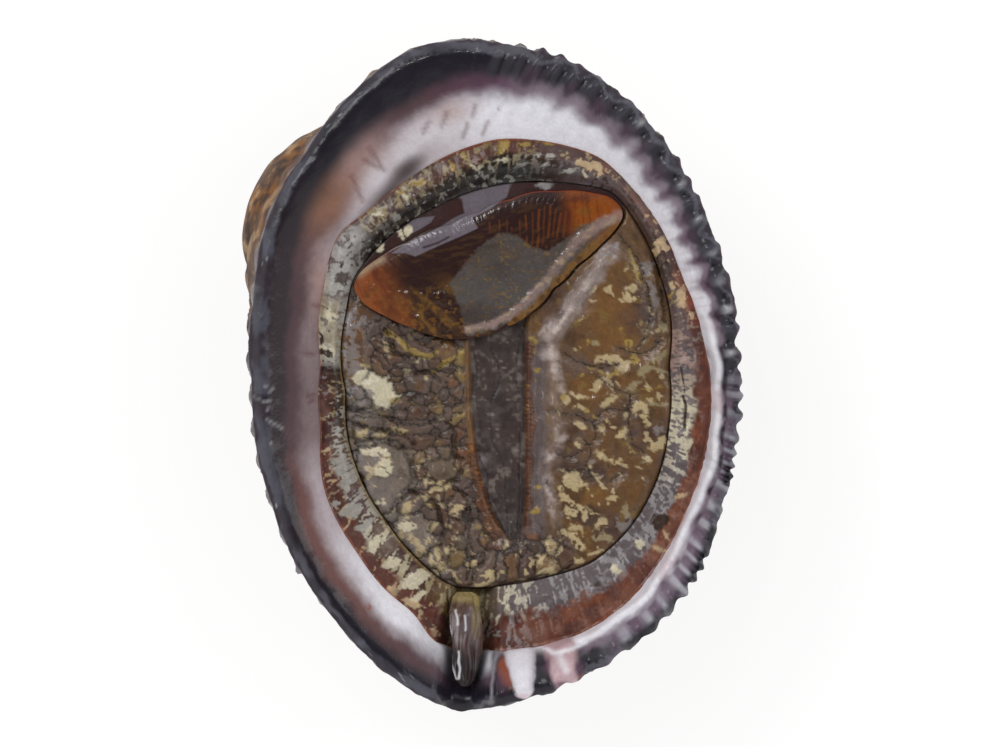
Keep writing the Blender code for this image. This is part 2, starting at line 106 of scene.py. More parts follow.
# The siphon's notch in the rim, the sole's groove in the foot, and the siphon's middle line with its radius
NOTCH_BEARING = -96.5
NOTCH_HALF_WIDTH = 3.6
NOTCH_DEPTH = 1.05
SOLE_LEFT = [(-0.65, 0.9), (-0.6, -1.1), (-0.38, -2.7), (-0.13, -3.6), (0.3, -4.5)]
SOLE_RIGHT = [(0.9, 0.9), (0.88, -0.7), (0.88, -2.1), (0.9, -3.3), (0.8, -4.5)]
SOLE_DEPTH = 0.75
SOLE_EDGE_WIDTH = 0.14
FOOT_LIFT = 0.28
SIPHON_RADIUS = 0.42
SIPHON_POINTS = [
    (-0.8, -6.05, 6.36, 0.5), (-0.79, -6.18, 6.38, 0.85), (-0.77, -6.6, 6.44, 1.0), (-0.74, -7.2, 6.5, 1.0),
    (-0.74, -7.75, 6.58, 0.92), (-0.76, -8.2, 6.68, 0.8), (-0.79, -8.5, 6.76, 0.58),
    (-0.8, -8.66, 6.8, 0.25)]


def polar_outline(points, centre, blur_degrees=2.0):
    """The outline's distance from centre as a smooth function of the bearing in radians."""
    offsets = np.array(points) - np.array(centre)
    bearings = np.arctan2(offsets[:, 1], offsets[:, 0])
    distances = np.hypot(offsets[:, 0], offsets[:, 1])
    table_bearings = np.linspace(-math.pi, math.pi, 720, endpoint=False)
    table = np.interp(table_bearings, bearings, distances, period=2 * math.pi)
    harmonics = np.arange(361)
    damping = np.exp(-0.5 * (harmonics * math.radians(blur_degrees)) ** 2)
    smooth = np.fft.irfft(np.fft.rfft(table) * damping, 720)
    return lambda bearing: np.interp(bearing, table_bearings, smooth, period=2 * math.pi)


rim_distance = polar_outline(RIM_OUTLINE, CENTRE)
rim_from_rest = polar_outline(RIM_OUTLINE, REST_CENTRE)
lip_inner_distance = polar_outline(LIP_INNER_OUTLINE, CENTRE)
foot_distance = polar_outline(FOOT_OUTLINE, CENTRE)
operculum_distance = polar_outline(OPERCULUM_OUTLINE, OPERCULUM_CENTRE, 1.5)


# Number helpers


def smooth_step(low, high, value):
    """0 at low and beyond it, 1 at high and beyond it, and a smooth rise between; high may be the lesser."""
    share = np.clip((value - low) / (high - low), 0.0, 1.0)
    return share * share * (3.0 - 2.0 * share)


def near(way, width):
    """1 on a line or at a point, falling away from it over about that width."""
    return np.exp(-(way / width) ** 2)


def degrees_of(bearing):
    """A bearing in degrees from -180 to 180."""
    return (np.degrees(bearing) + 180.0) % 360.0 - 180.0


def lattice(cells, seed):
    """A repeatable number from 0 to 1 for each row of three whole numbers."""
    mixed = cells[..., 0] * 73856093 ^ cells[..., 1] * 19349663 ^ cells[..., 2] * 83492791
    mixed = (mixed ^ seed * 668265263) & 0x7FFFFFFF
    mixed = (mixed ^ mixed >> 15) * 1103515245 & 0x7FFFFFFF
    mixed = (mixed ^ mixed >> 12) * 69069 & 0x7FFFFFFF
    return (mixed ^ mixed >> 14) % 65536 / 65535.0


def noise(points, size, seed=0):
    """Smooth noise from -1 to 1 with lumps of about that size in mm."""
    place = points / size
    corner = np.floor(place).astype(np.int64)
    part = place - corner
    part = part * part * (3.0 - 2.0 * part)
    total = np.zeros(len(points))
    for number in range(8):
        step = np.array([number & 1, number >> 1 & 1, number >> 2 & 1])
        weight = np.prod(np.where(step == 1, part, 1.0 - part), axis=1)
        total += weight * lattice(corner + step, seed)
    return 2.0 * total - 1.0


def fractal(points, size, seed=0, octaves=3):
    """Noise with finer noise laid over it."""
    total = np.zeros(len(points))
    for octave in range(octaves):
        total += noise(points, size / 2 ** octave, seed + octave) / 2 ** octave
    return total


def flat(x, y):
    """Points in plan with no height, for noise that runs straight down through the surface."""
    return np.stack([x, y, np.zeros_like(x)], axis=-1)


def noise_along(values, seed):
    """Noise along one row of numbers, with lumps of about 1."""
    return noise(flat(values, 0.0 * values), 1.0, seed)


def plan_point(centre, bearing, reach):
    """The point in plan at a bearing and a distance from a centre."""
    return centre[0] + reach * np.cos(bearing), centre[1] + reach * np.sin(bearing)


def line_distance(x, y, points):
    """The distance in plan from a bent line, and the share of the way along it."""
    best = np.full(x.shape, 1e9)
    along = np.zeros(x.shape)
    count = len(points) - 1
    for number, (start, end) in enumerate(zip(points, points[1:])):
        run_x, run_y = end[0] - start[0], end[1] - start[1]
        share = ((x - start[0]) * run_x + (y - start[1]) * run_y) / (run_x ** 2 + run_y ** 2)
        share = np.clip(share, 0.0, 1.0)
        gap = np.hypot(x - start[0] - run_x * share, y - start[1] - run_y * share)
        along = np.where(gap < best, (number + share) / count, along)
        best = np.minimum(best, gap)
    return best, along


# The shell's form


def rib_relief(bearing):
    """1 on a rib's crest, 0 in a furrow, and a half on the smooth lip."""
    degrees = degrees_of(bearing)
    crests = np.array(RIB_BEARINGS[::-1], dtype=float)
    phase = np.interp(degrees, crests, np.arange(len(crests)))
    wave = 0.5 + 0.5 * np.cos(2 * math.pi * phase)
    ribbed = smooth_step(-86.0, -78.0, degrees) * (1.0 - smooth_step(88.0, 98.0, degrees))
    return 0.5 + (wave - 0.5) * ribbed


def notch(bearing):
    """1 in the middle of the siphon's notch, falling to 0 at its sides."""
    degrees = degrees_of(bearing - math.radians(NOTCH_BEARING))
    return np.exp(-(degrees / NOTCH_HALF_WIDTH) ** 4)


def dome_height(x, y, base, top):
    """A bowl: flat at base in the middle, rising to top at share 1, steeper on the spire's side."""
    bearing = np.arctan2(y, x)
    share = np.hypot(x, y)
    left = 0.5 - 0.5 * np.cos(bearing)
    rise = 1.75 + 0.85 * left
    wall = 1.45 + 0.65 * left
    return base + (top - base) * (1.0 - (1.0 - np.clip(share, 0, 1) ** rise) ** (1.0 / wall))


def plan_share(x, y, distance, centre=CENTRE):
    """The plan point as a share of the way from the centre to an outline, kept as a vector."""
    dx = x - centre[0]
    dy = y - centre[1]
    reach = distance(np.arctan2(dy, dx))
    return dx / reach, dy / reach


def outside_height(x, y):
    """The height of the back's plain bowl over a point in plan, with its flat spot in the middle."""
    share_x, share_y = plan_share(x, y, rim_from_rest, REST_CENTRE)
    share = np.maximum(np.hypot(share_x, share_y), 1e-6)
    raised = np.clip((share - FLAT_SHARE) / (1.0 - FLAT_SHARE), 0.0, 1.0)
    return dome_height(share_x / share * raised, share_y / share * raised, 0.0, RIM_HEIGHT)


def cavity_height(x, y):
    """The height of the cavity's wall at a point in plan."""
    share_x, share_y = plan_share(x, y, lip_inner_distance)
    return dome_height(share_x, share_y, CAVITY_FLOOR, RIM_HEIGHT - LIP_DEPTH)


def rib_slant(bearing):
    """How far a rib leans from the bearing's own line, as a tangent: ribs run out from the spire's foot."""
    rim_x, rim_y = plan_point(CENTRE, bearing, rim_distance(bearing))
    run_x = rim_x - SPIRE_FOOT[0]
    run_y = rim_y - SPIRE_FOOT[1]
    across = np.cos(bearing) * run_y - np.sin(bearing) * run_x
    return RIB_LEAN * np.clip(across / (np.cos(bearing) * run_x + np.sin(bearing) * run_y), -1.2, 1.2)


def rib_bearing(bearing, depth):
    """The bearing at which the rib through a point of the lip meets the rim, depth mm outside it."""
    return bearing + depth * rib_slant(bearing) / (rim_distance(bearing) - 0.5 * depth)


# Lip details: the pale ridge along the inner edge of the ribbed lip, and the two teeth beside the notch
RIDGE_OFFSET = 0.15
RIDGE_HEIGHT = 0.16
RIDGE_WIDTH = 0.11
LABRAL_TOOTH = [(0.74, -7.8), (0.8, -8.35), (0.83, -8.72)]
TOOTH_WIDTHS = (0.42, 0.27)
TOOTH_HEIGHT = 0.3
SECOND_TOOTH = [(1.85, -7.62), (1.98, -8.4)]
SECOND_TOOTH_WIDTHS = (0.46, 0.36)
SECOND_TOOTH_HEIGHT = 0.2
CANAL_RIDGE = [(0.08, -7.75), (-0.02, -8.3), (-0.07, -9.05)]
CANAL_RIDGE_WIDTH = 0.09
CANAL_RIDGE_HEIGHT = 0.18
EDGE_ROUND_WIDTH = 0.48
EDGE_ROUND_DROP = 0.2
LIP_RIB_HEIGHT = 0.13
LIP_RIB_REACH = 1.0
RIB_LEAN = 0.35
CHIP_DEPTH = 0.045


def tooth_reach(x, y, line, widths):
    """How far out a point lies from a tooth's line: 1 is its edge. The widths are half widths."""
    gap, along = line_distance(x, y, line)
    return gap / (widths[0] + (widths[1] - widths[0]) * along)


def tooth_relief(x, y, line, widths, height):
    """A blunt tooth along a line."""
    return height * (1.0 - np.clip(tooth_reach(x, y, line, widths), 0.0, 1.0) ** 2) ** 0.7


def inner_ridge(x, y, bearing):
    """How far a point of the lip is from the middle of the inner ridge, and 1 where there is a ridge."""
    degrees = degrees_of(bearing)
    wander = 0.05 * np.sin(degrees * 0.21) + 0.03 * np.sin(degrees * 0.53)
    gap = np.abs(np.hypot(x - CENTRE[0], y - CENTRE[1]) - lip_inner_distance(bearing) - RIDGE_OFFSET - wander)
    return gap, smooth_step(-80.0, -74.0, degrees) * smooth_step(24.0, 12.0, degrees)


def rib_boldness(degrees):
    """How far the ribs stand out at the rim: unevenly, and less on the upper right."""
    uneven = noise_along(degrees / 9.0, 15)
    return np.clip(0.75 - 0.35 * smooth_step(0.0, 30.0, degrees) + 0.6 * uneven, 0.1, 1.2)


def lip_ring(bearing, share):
    """A ring of the lip's face: share 0 is its inner edge and 1 is the rim."""
    inner = lip_inner_distance(bearing)
    outer = rim_distance(bearing)
    depth = (outer - inner) * (1.0 - share)
    relief = rib_relief(rib_bearing(bearing, depth))
    degrees = degrees_of(bearing)
    edge = flat(outer * np.cos(bearing), outer * np.sin(bearing))
    on_ribs = smooth_step(-92.0, -84.0, degrees) * smooth_step(104.0, 96.0, degrees)
    chips = CHIP_DEPTH * (0.35 + 0.65 * on_ribs) * (noise(edge, 0.45, 12) + 0.8 * noise(edge, 0.16, 13))
    step = RIB_RADIUS_STEP * rib_boldness(degrees) * (rib_relief(bearing) - 0.5)
    x, y = plan_point(CENTRE, bearing, inner + (outer - inner + step + chips) * share)
    z = RIM_HEIGHT - LIP_DEPTH * (1.0 - share) ** 2 - RIB_EDGE_DROP * (1.0 - relief) * share
    rib_height = LIP_RIB_HEIGHT * (0.65 + 0.5 * smooth_step(20.0, -10.0, degrees)) * (relief - 0.5)
    z = z + rib_height * near(depth, LIP_RIB_REACH) * (1.0 - share ** 12)
    z = z - EDGE_ROUND_DROP * np.clip(1.0 - depth / EDGE_ROUND_WIDTH, 0.0, 1.0) ** 2.2
    z = z - NOTCH_DEPTH * (1.0 - 0.45 * share) * notch(bearing)
    z = z + tooth_relief(x, y, LABRAL_TOOTH, TOOTH_WIDTHS, TOOTH_HEIGHT)
    z = z + tooth_relief(x, y, SECOND_TOOTH, SECOND_TOOTH_WIDTHS, SECOND_TOOTH_HEIGHT)
    ridge_gap, present = inner_ridge(x, y, bearing)
    ridge = near(ridge_gap, RIDGE_WIDTH) * present
    canal_gap, _ = line_distance(x, y, CANAL_RIDGE)
    z = z + RIDGE_HEIGHT * ridge + CANAL_RIDGE_HEIGHT * near(canal_gap, CANAL_RIDGE_WIDTH)
    points = np.stack([x, y, z], axis=-1)
    fine = 0.012 * noise(points, 0.14, 14) * smooth_step(0.9, 0.3, depth)
    points[:, 2] += (0.014 * fractal(points, 0.45, 11) + fine) * smooth_step(0.0, 0.2, share)
    return points


def cavity_ring(bearing, share):
    """A ring of the cavity's wall, at a share of the way from its middle to the lip."""
    x, y = plan_point(CENTRE, bearing, lip_inner_distance(bearing) * share)
    z = cavity_height(x, y) - NOTCH_DEPTH * notch(bearing) * smooth_step(0.8, 1.0, share)
    return np.stack([x, y, z], axis=-1)


# Fine relief of the back
SCALE_STEPS = 22
SCALE_HEIGHT = 0.11
GRAIN_HEIGHT = 0.045
RIBLET_STEP = 8.0
RIBLET_HEIGHT = 0.1


def growth_phase(bearing, share):
    """The way through one growth scale: 0 at its raised edge and 1 at the next."""
    height = np.full(bearing.shape, 9.0 * share)
    around = np.stack([6.4 * np.cos(bearing), 6.4 * np.sin(bearing), height], axis=-1)
    return (share * SCALE_STEPS + 0.5 * noise(around, 1.0, 5)) % 1.0


def back_ribs(bearing):
    """The ribs of the back: the lip's own, and lower riblets behind the smooth lip, and 1 where those are."""
    smooth_side = 2.0 * np.abs(0.5 - np.abs(rib_relief(bearing) - 0.5))
    degrees = np.degrees(bearing) % 360.0
    riblets = 0.5 + 0.5 * np.cos(2 * math.pi * degrees / RIBLET_STEP)
    behind = smooth_step(96.0, 108.0, degrees) * smooth_step(300.0, 290.0, degrees)
    return rib_relief(bearing) * (1.0 - behind) + riblets * behind, behind * np.clip(smooth_side, 0.0, 1.0)


def ledge_rise(share):
    """The height of the growth ledges at a share of the way from the spire's foot to the lip."""
    places = [0.0, 2 * LEDGE_SHARES[-1] - LEDGE_SHARES[-2]]
    heights = [0.0, 0.0]
    for ledge in LEDGE_SHARES[::-1]:
        places += [ledge - LEDGE_RUN, ledge + LEDGE_RUN]
        heights += [LEDGE_HEIGHT, 0.0]
    return np.interp(share, places, heights)


def coil_furrow(points, round_spire):
    """How far a point lies down in the furrow that winds round the spire from its tip."""
    from_tip = np.linalg.norm(points - np.array(SPIRE_TIP), axis=1) + 0.05
    turns = np.log(from_tip) / math.log(COIL_GROWTH) + round_spire / (2 * math.pi)
    furrow = (1.0 - np.abs(np.sin(math.pi * turns))) ** 2
    by_foot = np.hypot(points[:, 0] - SPIRE_FOOT[0], points[:, 1] - SPIRE_FOOT[1])
    fading = smooth_step(0.15, 0.8, by_foot) * np.exp(-(from_tip / COIL_REACH) ** 4)
    return furrow * np.minimum(from_tip, 1.0) * fading


def push_spire(points, round_spire):
    """Swell the left of the back into the globe of the spire, with its coil as a winding furrow."""
    centre = np.array(SPIRE_CENTRE)
    offsets = (points - centre) / np.array(SPIRE_RADII)
    reach = np.linalg.norm(offsets, axis=1)
    short = 1.0 - reach
    pushed = reach + 0.5 * (short + np.sqrt(short ** 2 + SPIRE_BLEND ** 2))
    coil = COIL_DEPTH * coil_furrow(points, round_spire)
    below_rim = 1.0 - smooth_step(RIM_HEIGHT - 1.3, RIM_HEIGHT - 0.1, points[:, 2])
    target = centre + (points - centre) * ((pushed - coil / 2.4) / reach)[:, None]
    return points + (target - points) * (below_rim * smooth_step(1.9, 1.3, reach))[:, None]


def back_ring(bearing, share):
    """A ring of the back, at a share of the way from the spire's foot to the lip."""
    rim = lip_ring(bearing, 1.0)
    x = SPIRE_FOOT[0] + (rim[:, 0] - SPIRE_FOOT[0]) * share
    y = SPIRE_FOOT[1] + (rim[:, 1] - SPIRE_FOOT[1]) * share
    z = np.minimum(outside_height(x, y), rim[:, 2] - 6.0 * (1.0 - share))
    points = np.stack([x, y, z], axis=-1)
    outward = points - np.array([*CENTRE, RIM_HEIGHT * 0.9])
    outward /= np.linalg.norm(outward, axis=1)[:, None]
    near_lip = smooth_step(RIM_HEIGHT, RIM_HEIGHT - 1.0, z)
    span = np.hypot(rim[:, 0] - SPIRE_FOOT[0], rim[:, 1] - SPIRE_FOOT[1])
    ribs, behind = back_ribs(bearing)
    height = RIB_BACK_HEIGHT + (RIBLET_HEIGHT - RIB_BACK_HEIGHT) * behind
    relief = height * (ribs - 0.5) * min(1.0, share * 2.0)
    relief = relief + ledge_rise(share) * smooth_step(2.0, 8.0, span)
    growth = growth_phase(bearing, share)
    scales = SCALE_HEIGHT * growth ** 1.5 * (0.35 + 0.65 * ribs) * smooth_step(0.1, 0.3, share)
    relief = relief + scales * smooth_step(1.5, 5.0, span)
    relief = (relief + GRAIN_HEIGHT * fractal(points, 0.33, 21)) * smooth_step(0.03, 0.16, share)
    points = points + outward * (relief * near_lip)[:, None]
    round_spire = np.arctan2(rim[:, 1] - SPIRE_FOOT[1], rim[:, 0] - SPIRE_FOOT[0])
    points = push_spire(points, round_spire)
    points[:, 2] = np.maximum(points[:, 2], 0.0)
    return points


# Making meshes


def add_object(name, data):
    """A new object of that name in the scene."""
    made = bpy.data.objects.new(name, data)
    bpy.context.scene.collection.objects.link(made)
    return made


def make_piece(name, points, faces, tint, gloss, material):
    """One named piece from points in mm, with its colour and its gloss stored on the points."""
    mesh = bpy.data.meshes.new(name)
    mesh.from_pydata((np.asarray(points) * MM).tolist(), [], faces)
    mesh.materials.append(material)
    colours = mesh.attributes.new("tint", "FLOAT_COLOR", "POINT")
    with_alpha = np.concatenate([tint, np.ones((len(tint), 1))], axis=1)
    colours.data.foreach_set("color", with_alpha.astype(np.float32).ravel())
    shine = mesh.attributes.new("gloss", "FLOAT", "POINT")
    shine.data.foreach_set("value", np.asarray(gloss, dtype=np.float32))
    mesh.shade_smooth()
    mesh.update()
    return add_object(name, mesh)


def ring_faces(rows, columns, closed=False):
    """Quads between rings of points; closed also joins the last ring to the first."""
    row = np.arange(rows if closed else rows - 1)[:, None]
    column = np.arange(columns)
    beside = (column + 1) % columns
    below = (row + 1) % rows * columns
    start = row * columns
    quads = np.stack([start + column, below + column, below + beside, start + beside], axis=-1)
    return quads.reshape(-1, 4).tolist()


def fan_faces(ring_start, columns, pole, upward):
    """Triangles that close a ring on one point."""
    faces = []
    for column in range(columns):
        first = ring_start + column
        beside = ring_start + (column + 1) % columns
        faces.append((first, beside, pole) if upward else (beside, first, pole))
    return faces


def tube_faces(rows, columns, turned=False):
    """Faces of rings closed at both ends on two points that come after them; turned reverses them."""
    body = rows * columns
    faces = ring_faces(rows, columns)
    if turned:
        faces = [face[::-1] for face in faces]
    faces += fan_faces(0, columns, body, not turned)
    faces += fan_faces(body - columns, columns, body + 1, turned)
    return faces


def linear(colour):
    """A colour named by its screen values, 0 to 255, as the shader's own linear values."""
    share = np.array(colour, dtype=float) / 255.0
    return np.where(share <= 0.04045, share / 12.92, ((share + 0.055) / 1.055) ** 2.4)


def plain(count, colour):
    """The same colour for so many points."""
    return np.tile(linear(colour), (count, 1))


# Materials


def feed(tree, node, inputs):
    """Set a node's inputs, each to a value or by a link from another node's output."""
    for name, value in inputs.items():
        if isinstance(value, bpy.types.NodeSocket):
            tree.links.new(value, node.inputs[name])
        else:
            node.inputs[name].default_value = value


def add_node(tree, kind, inputs, **settings):
    """A new node with its settings and its inputs."""
    node = tree.nodes.new(kind)
    for name, value in settings.items():
        setattr(node, name, value)
    feed(tree, node, inputs)
    return node


def make_surface(name, roughness, coat, grain_size, grain_depth, scatter=0.0, speckle=0.13):
    """A shader that takes its colour from the piece's tint and adds grain, a wet coat and some scattering."""
    material = bpy.data.materials.new(name)
    material.use_nodes = True
    tree = material.node_tree
    tint = add_node(tree, "ShaderNodeAttribute", {}, attribute_name="tint").outputs["Color"]
    gloss = add_node(tree, "ShaderNodeAttribute", {}, attribute_name="gloss").outputs["Fac"]
    place = add_node(tree, "ShaderNodeTexCoord", {}).outputs["Object"]
    grain = add_node(tree, "ShaderNodeTexNoise", {
        "Vector": place, "Scale": 1.0 / (grain_size * MM), "Detail": 4.0}).outputs["Fac"]
    shade = add_node(tree, "ShaderNodeMapRange", {
        "Value": grain, "From Min": 0.3, "From Max": 0.7, "To Min": 1.0 - speckle, "To Max": 1.0 + speckle})
    colour = add_node(tree, "ShaderNodeVectorMath", {
        0: tint, "Scale": shade.outputs["Result"]}, operation="SCALE")
    rough = add_node(tree, "ShaderNodeMapRange", {"Value": gloss, "To Min": roughness, "To Max": 0.08})
    bump = add_node(tree, "ShaderNodeBump", {"Height": grain, "Distance": grain_depth * MM})
    wet = add_node(tree, "ShaderNodeMath", {0: gloss, 1: coat}, operation="MULTIPLY")
    feed(tree, tree.nodes["Principled BSDF"], {
        "Base Color": colour.outputs["Vector"], "Roughness": rough.outputs["Result"],
        "Normal": bump.outputs["Normal"], "Coat Weight": wet.outputs["Value"],
        "Coat Roughness": 0.07, "Coat IOR": 1.33, "Specular IOR Level": 0.25,
        "Subsurface Weight": scatter, "Subsurface Scale": 1.0,
        "Subsurface Radius": (0.3 * MM, 0.18 * MM, 0.12 * MM)})
    return material


# Colours by name, as screen values from 0 to 255
TONES = {
    "edge line": (40, 30, 42), "grey and sheen": (78, 77, 87), "black": (31, 28, 37), "warm black": (44, 32, 38),
    "wine": (84, 50, 74), "violet": (136, 122, 138), "lavender": (238, 236, 244), "white": (248, 247, 252),
    "dusk": (138, 120, 122), "rose grey": (196, 184, 190), "left glow": (80, 56, 62),
    "low glow": (108, 70, 66), "tan orange": (164, 114, 84), "rose tan": (172, 142, 138),
    "smudge and shade": (62, 48, 46), "hairline": (92, 40, 40), "spot": (140, 62, 40), "pocket": (88, 62, 80),
    "rib grey": (184, 182, 190), "glint": (176, 176, 180), "tooth": (232, 228, 236), "rust": (146, 76, 52),
    "rosy tip": (190, 140, 146), "pink": (196, 166, 172), "pale line": (150, 142, 152),
    "spire": (92, 62, 38), "spire gold": (128, 80, 30), "spire tan": (166, 136, 98),
    "spire dark": (44, 30, 24), "back brown": (112, 88, 68), "back gold": (122, 88, 50),
    "back violet": (70, 54, 56), "back pale": (160, 144, 124), "cavity": (170, 160, 164),
    "cream": (190, 170, 130), "pale cream": (206, 196, 170), "warm cream": (194, 168, 132),
    "grey cream": (160, 156, 148), "dull cream": (150, 136, 104), "yellow": (160, 134, 70),
    "dull yellow": (128, 104, 56), "tan": (138, 110, 70), "pink tan": (158, 132, 122),
    "orange": (122, 74, 38), "amber": (120, 84, 46), "grey brown": (102, 83, 72), "brown": (96, 64, 44),
    "red brown": (92, 50, 40), "rust brown": (112, 62, 44), "soft rust": (136, 92, 74),
    "deep red": (66, 38, 34), "dark brown": (58, 42, 34), "violet brown": (88, 68, 64),
    "plum grey": (104, 86, 84), "lobe brown": (104, 76, 50), "lobe violet": (80, 58, 50),
    "olive": (96, 82, 62), "soft grey": (132, 122, 118), "bulge": (118, 106, 93),
    "pale swelling": (172, 170, 166), "violet grey": (98, 88, 90), "milky": (150, 145, 146),
    "mauve": (122, 112, 116), "furrow": (36, 24, 19), "deep": (24, 20, 18), "sole": (68, 56, 53),
    "sole pale": (132, 120, 112), "sole dark": (46, 37, 35), "fringe": (98, 58, 31),
    "fringe dark": (66, 38, 24), "fringe pale": (150, 104, 50), "ridge": (150, 134, 128),
    "ridge highlight": (206, 190, 184), "flesh": (58, 36, 34), "film glare": (112, 103, 112),
    "film dim": (84, 76, 84), "plate dark": (46, 26, 24), "plate brown": (84, 58, 32),
    "plate red": (74, 32, 22), "plate orange": (140, 72, 20), "plate line": (122, 64, 22),
    "plate edge": (128, 46, 20), "plate gold": (120, 84, 36), "plate grey": (84, 81, 79),
    "plate rose": (158, 132, 126), "tip dark": (96, 44, 26), "tip red": (142, 76, 38),
    "tip cream": (170, 148, 118), "siphon yellow": (146, 128, 82), "siphon brown": (84, 60, 50),
    "siphon violet": (96, 84, 88), "siphon pale": (150, 140, 138), "siphon dark": (36, 28, 30)}


def tone(name):
    """A named tone as linear values."""
    return linear(TONES[name])


def lay(tint, name, mask):
    """Lay a named colour over a tint where the mask is 1."""
    share = np.broadcast_to(np.clip(mask, 0.0, 1.0), (len(tint),))
    tint += (tone(name) - tint) * share[:, None]
    return tint


def ragged(x, y, reach, seed):
    """Plan points shifted a little by noise, so that what is drawn on them gets ragged edges."""
    points = flat(x, y)
    shifts = []
    for number in (seed, seed + 7):
        shift = noise(points, 4.0 * reach, number) + 0.6 * noise(points, 1.6 * reach, number + 1)
        shifts.append(reach * (shift + 0.55 * noise(points, 0.7 * reach, number + 2)))
    return x + shifts[0], y + shifts[1]


def ellipse_reach(x, y, spot):
    """How far out a point lies from a tilted ellipse: 1 is its edge."""
    middle_x, middle_y, half_length, half_width, tilt = spot[:5]
    turn = math.radians(tilt)
    along = (x - middle_x) * math.cos(turn) + (y - middle_y) * math.sin(turn)
    across = (y - middle_y) * math.cos(turn) - (x - middle_x) * math.sin(turn)
    return np.hypot(along / half_length, across / half_width)


def blotch(x, y, spot, soft=0.025):
    """1 inside a tilted ellipse and 0 outside it, with an edge that is soft by about that many mm."""
    share = soft / min(spot[2], spot[3])
    return smooth_step(1.0 + share, 1.0 - share, ellipse_reach(x, y, spot))


def blotches(x, y, spots, soft=0.025):
    """1 inside any of the ellipses."""
    mask = np.zeros(x.shape)
    for spot in spots:
        mask = np.maximum(mask, blotch(x, y, spot, soft))
    return mask


def stroke(x, y, line, half_width, soft=0.02):
    """1 along a bent line."""
    gap, _ = line_distance(x, y, line)
    return smooth_step(half_width + soft, half_width - soft, gap)


def outline_mask(x, y, outline, soft=0.025):
    """1 inside a closed outline and 0 outside it."""
    inside = np.zeros(x.shape, dtype=bool)
    for (start_x, start_y), (end_x, end_y) in zip(outline, outline[1:] + outline[:1]):
        crosses = (start_y > y) != (end_y > y)
        edge_x = start_x + (end_x - start_x) * (y - start_y) / (end_y - start_y or 1e-9)
        inside ^= crosses & (x < edge_x)
    gap, _ = line_distance(x, y, outline + outline[:1])
    return smooth_step(-soft, soft, np.where(inside, gap, -gap))


def by_bearing(degrees, rows, column):
    """A column of a table whose first column is a bearing: a number or a named tone, blended between rows."""
    rows = sorted(rows)
    bearings = [row[0] for row in rows]
    values = [row[column] for row in rows]
    if isinstance(values[0], str):
        colours = np.array([tone(name) for name in values])
        parts = [np.interp(degrees, bearings, colours[:, part], period=360) for part in range(3)]
        return np.stack(parts, axis=-1)
    return np.interp(degrees, bearings, values, period=360)


def shade_bands(depth, stops):
    """Colours blended one after the other: stops are pairs of a depth and the colour reached there."""
    tint = np.array(np.broadcast_to(stops[0][1], (len(depth), 3)))
    for (before, _), (after, colour) in zip(stops, stops[1:]):
        tint += (colour - tint) * smooth_step(before, after + 1e-4, depth)[:, None]
    return tint


# The shell


TEETH_COLUMNS = 120
RIBBED_COLUMNS = 410
SMOOTH_COLUMNS = 220

# Bands of the lip's face by bearing: where, in mm from the rim, the grey edge ends, the black ends, the glow
# is strongest and the pale floor starts, and the tones of the glow and of the floor
# The grey edge is partly the rim's own grey and partly a painted reflection of the wet rim.
LIP_BANDS = [
    (-175, 0.46, 0.8, 1.15, 1.75, "left glow", "dusk"), (-163, 0.44, 0.72, 1.05, 1.65, "left glow", "dusk"),
    (-150, 0.4, 0.48, 0.85, 1.45, "low glow", "rose grey"),
    (-138, 0.3, 0.38, 0.85, 1.5, "low glow", "rose grey"),
    (-125, 0.2, 0.42, 0.9, 1.6, "low glow", "lavender"),
    (-105, 0.28, 0.4, 0.8, 1.5, "left glow", "lavender"), (-60, 0.12, 0.4, 0.6, 0.85, "violet", "lavender"),
    (-45, 0.1, 0.22, 0.6, 0.95, "violet", "lavender"), (-15, 0.12, 0.36, 0.48, 0.66, "wine", "lavender"),
    (0, 0.12, 0.44, 0.58, 0.8, "wine", "lavender"), (15, 0.1, 0.44, 0.62, 0.92, "wine", "lavender"),
    (30, 0.16, 0.44, 0.62, 0.92, "wine", "lavender"), (45, 0.2, 0.5, 0.78, 1.2, "wine", "lavender"),
    (60, 0.22, 0.56, 0.9, 1.38, "wine", "lavender"), (75, 0.12, 0.64, 1.0, 1.5, "wine", "lavender"),
    (90, 0.3, 0.74, 1.15, 1.8, "wine", "lavender"), (105, 0.22, 0.98, 1.42, 2.1, "left glow", "rose grey"),
    (120, 0.18, 0.85, 1.42, 2.3, "left glow", "rose grey"),
    (135, 0.32, 1.02, 1.45, 2.3, "left glow", "rose grey"),
    (150, 0.38, 0.9, 1.25, 1.95, "left glow", "rose tan"), (165, 0.5, 0.9, 1.22, 1.75, "left glow", "dusk")]
# Bearings of the crests that carry a dark lobe on the lip
LOBE_BEARINGS = [
    90, 82, 74, 67.5, 60.5, 56, 50.5, 45.5, 39, 35, 29, 23, 15, 6, -1, -8.5, -14.5, -20.5, -28, -35, -45.5,
    -51]
LIP_HAIRLINES = [
    [(-3.45, 6.3), (-3.05, 5.7)], [(-3.95, 5.55), (-3.65, 4.85)], [(-3.6, 6.0), (-3.2, 5.75)],
    [(-0.15, 7.05), (-0.3, 6.7)], [(-0.72, 7.0), (-0.85, 6.6)], [(-1.3, 7.3), (-1.45, 6.9)],
    [(-0.5, 7.5), (-0.6, 7.2)], [(-1.8, 7.05), (-1.95, 6.75)], [(-5.25, 0.6), (-5.02, 0.58)],
    [(-5.02, 1.95), (-4.8, 1.9)], [(-5.2, -0.6), (-5.0, -0.54)], [(-5.15, -0.76), (-5.02, -0.7)]]
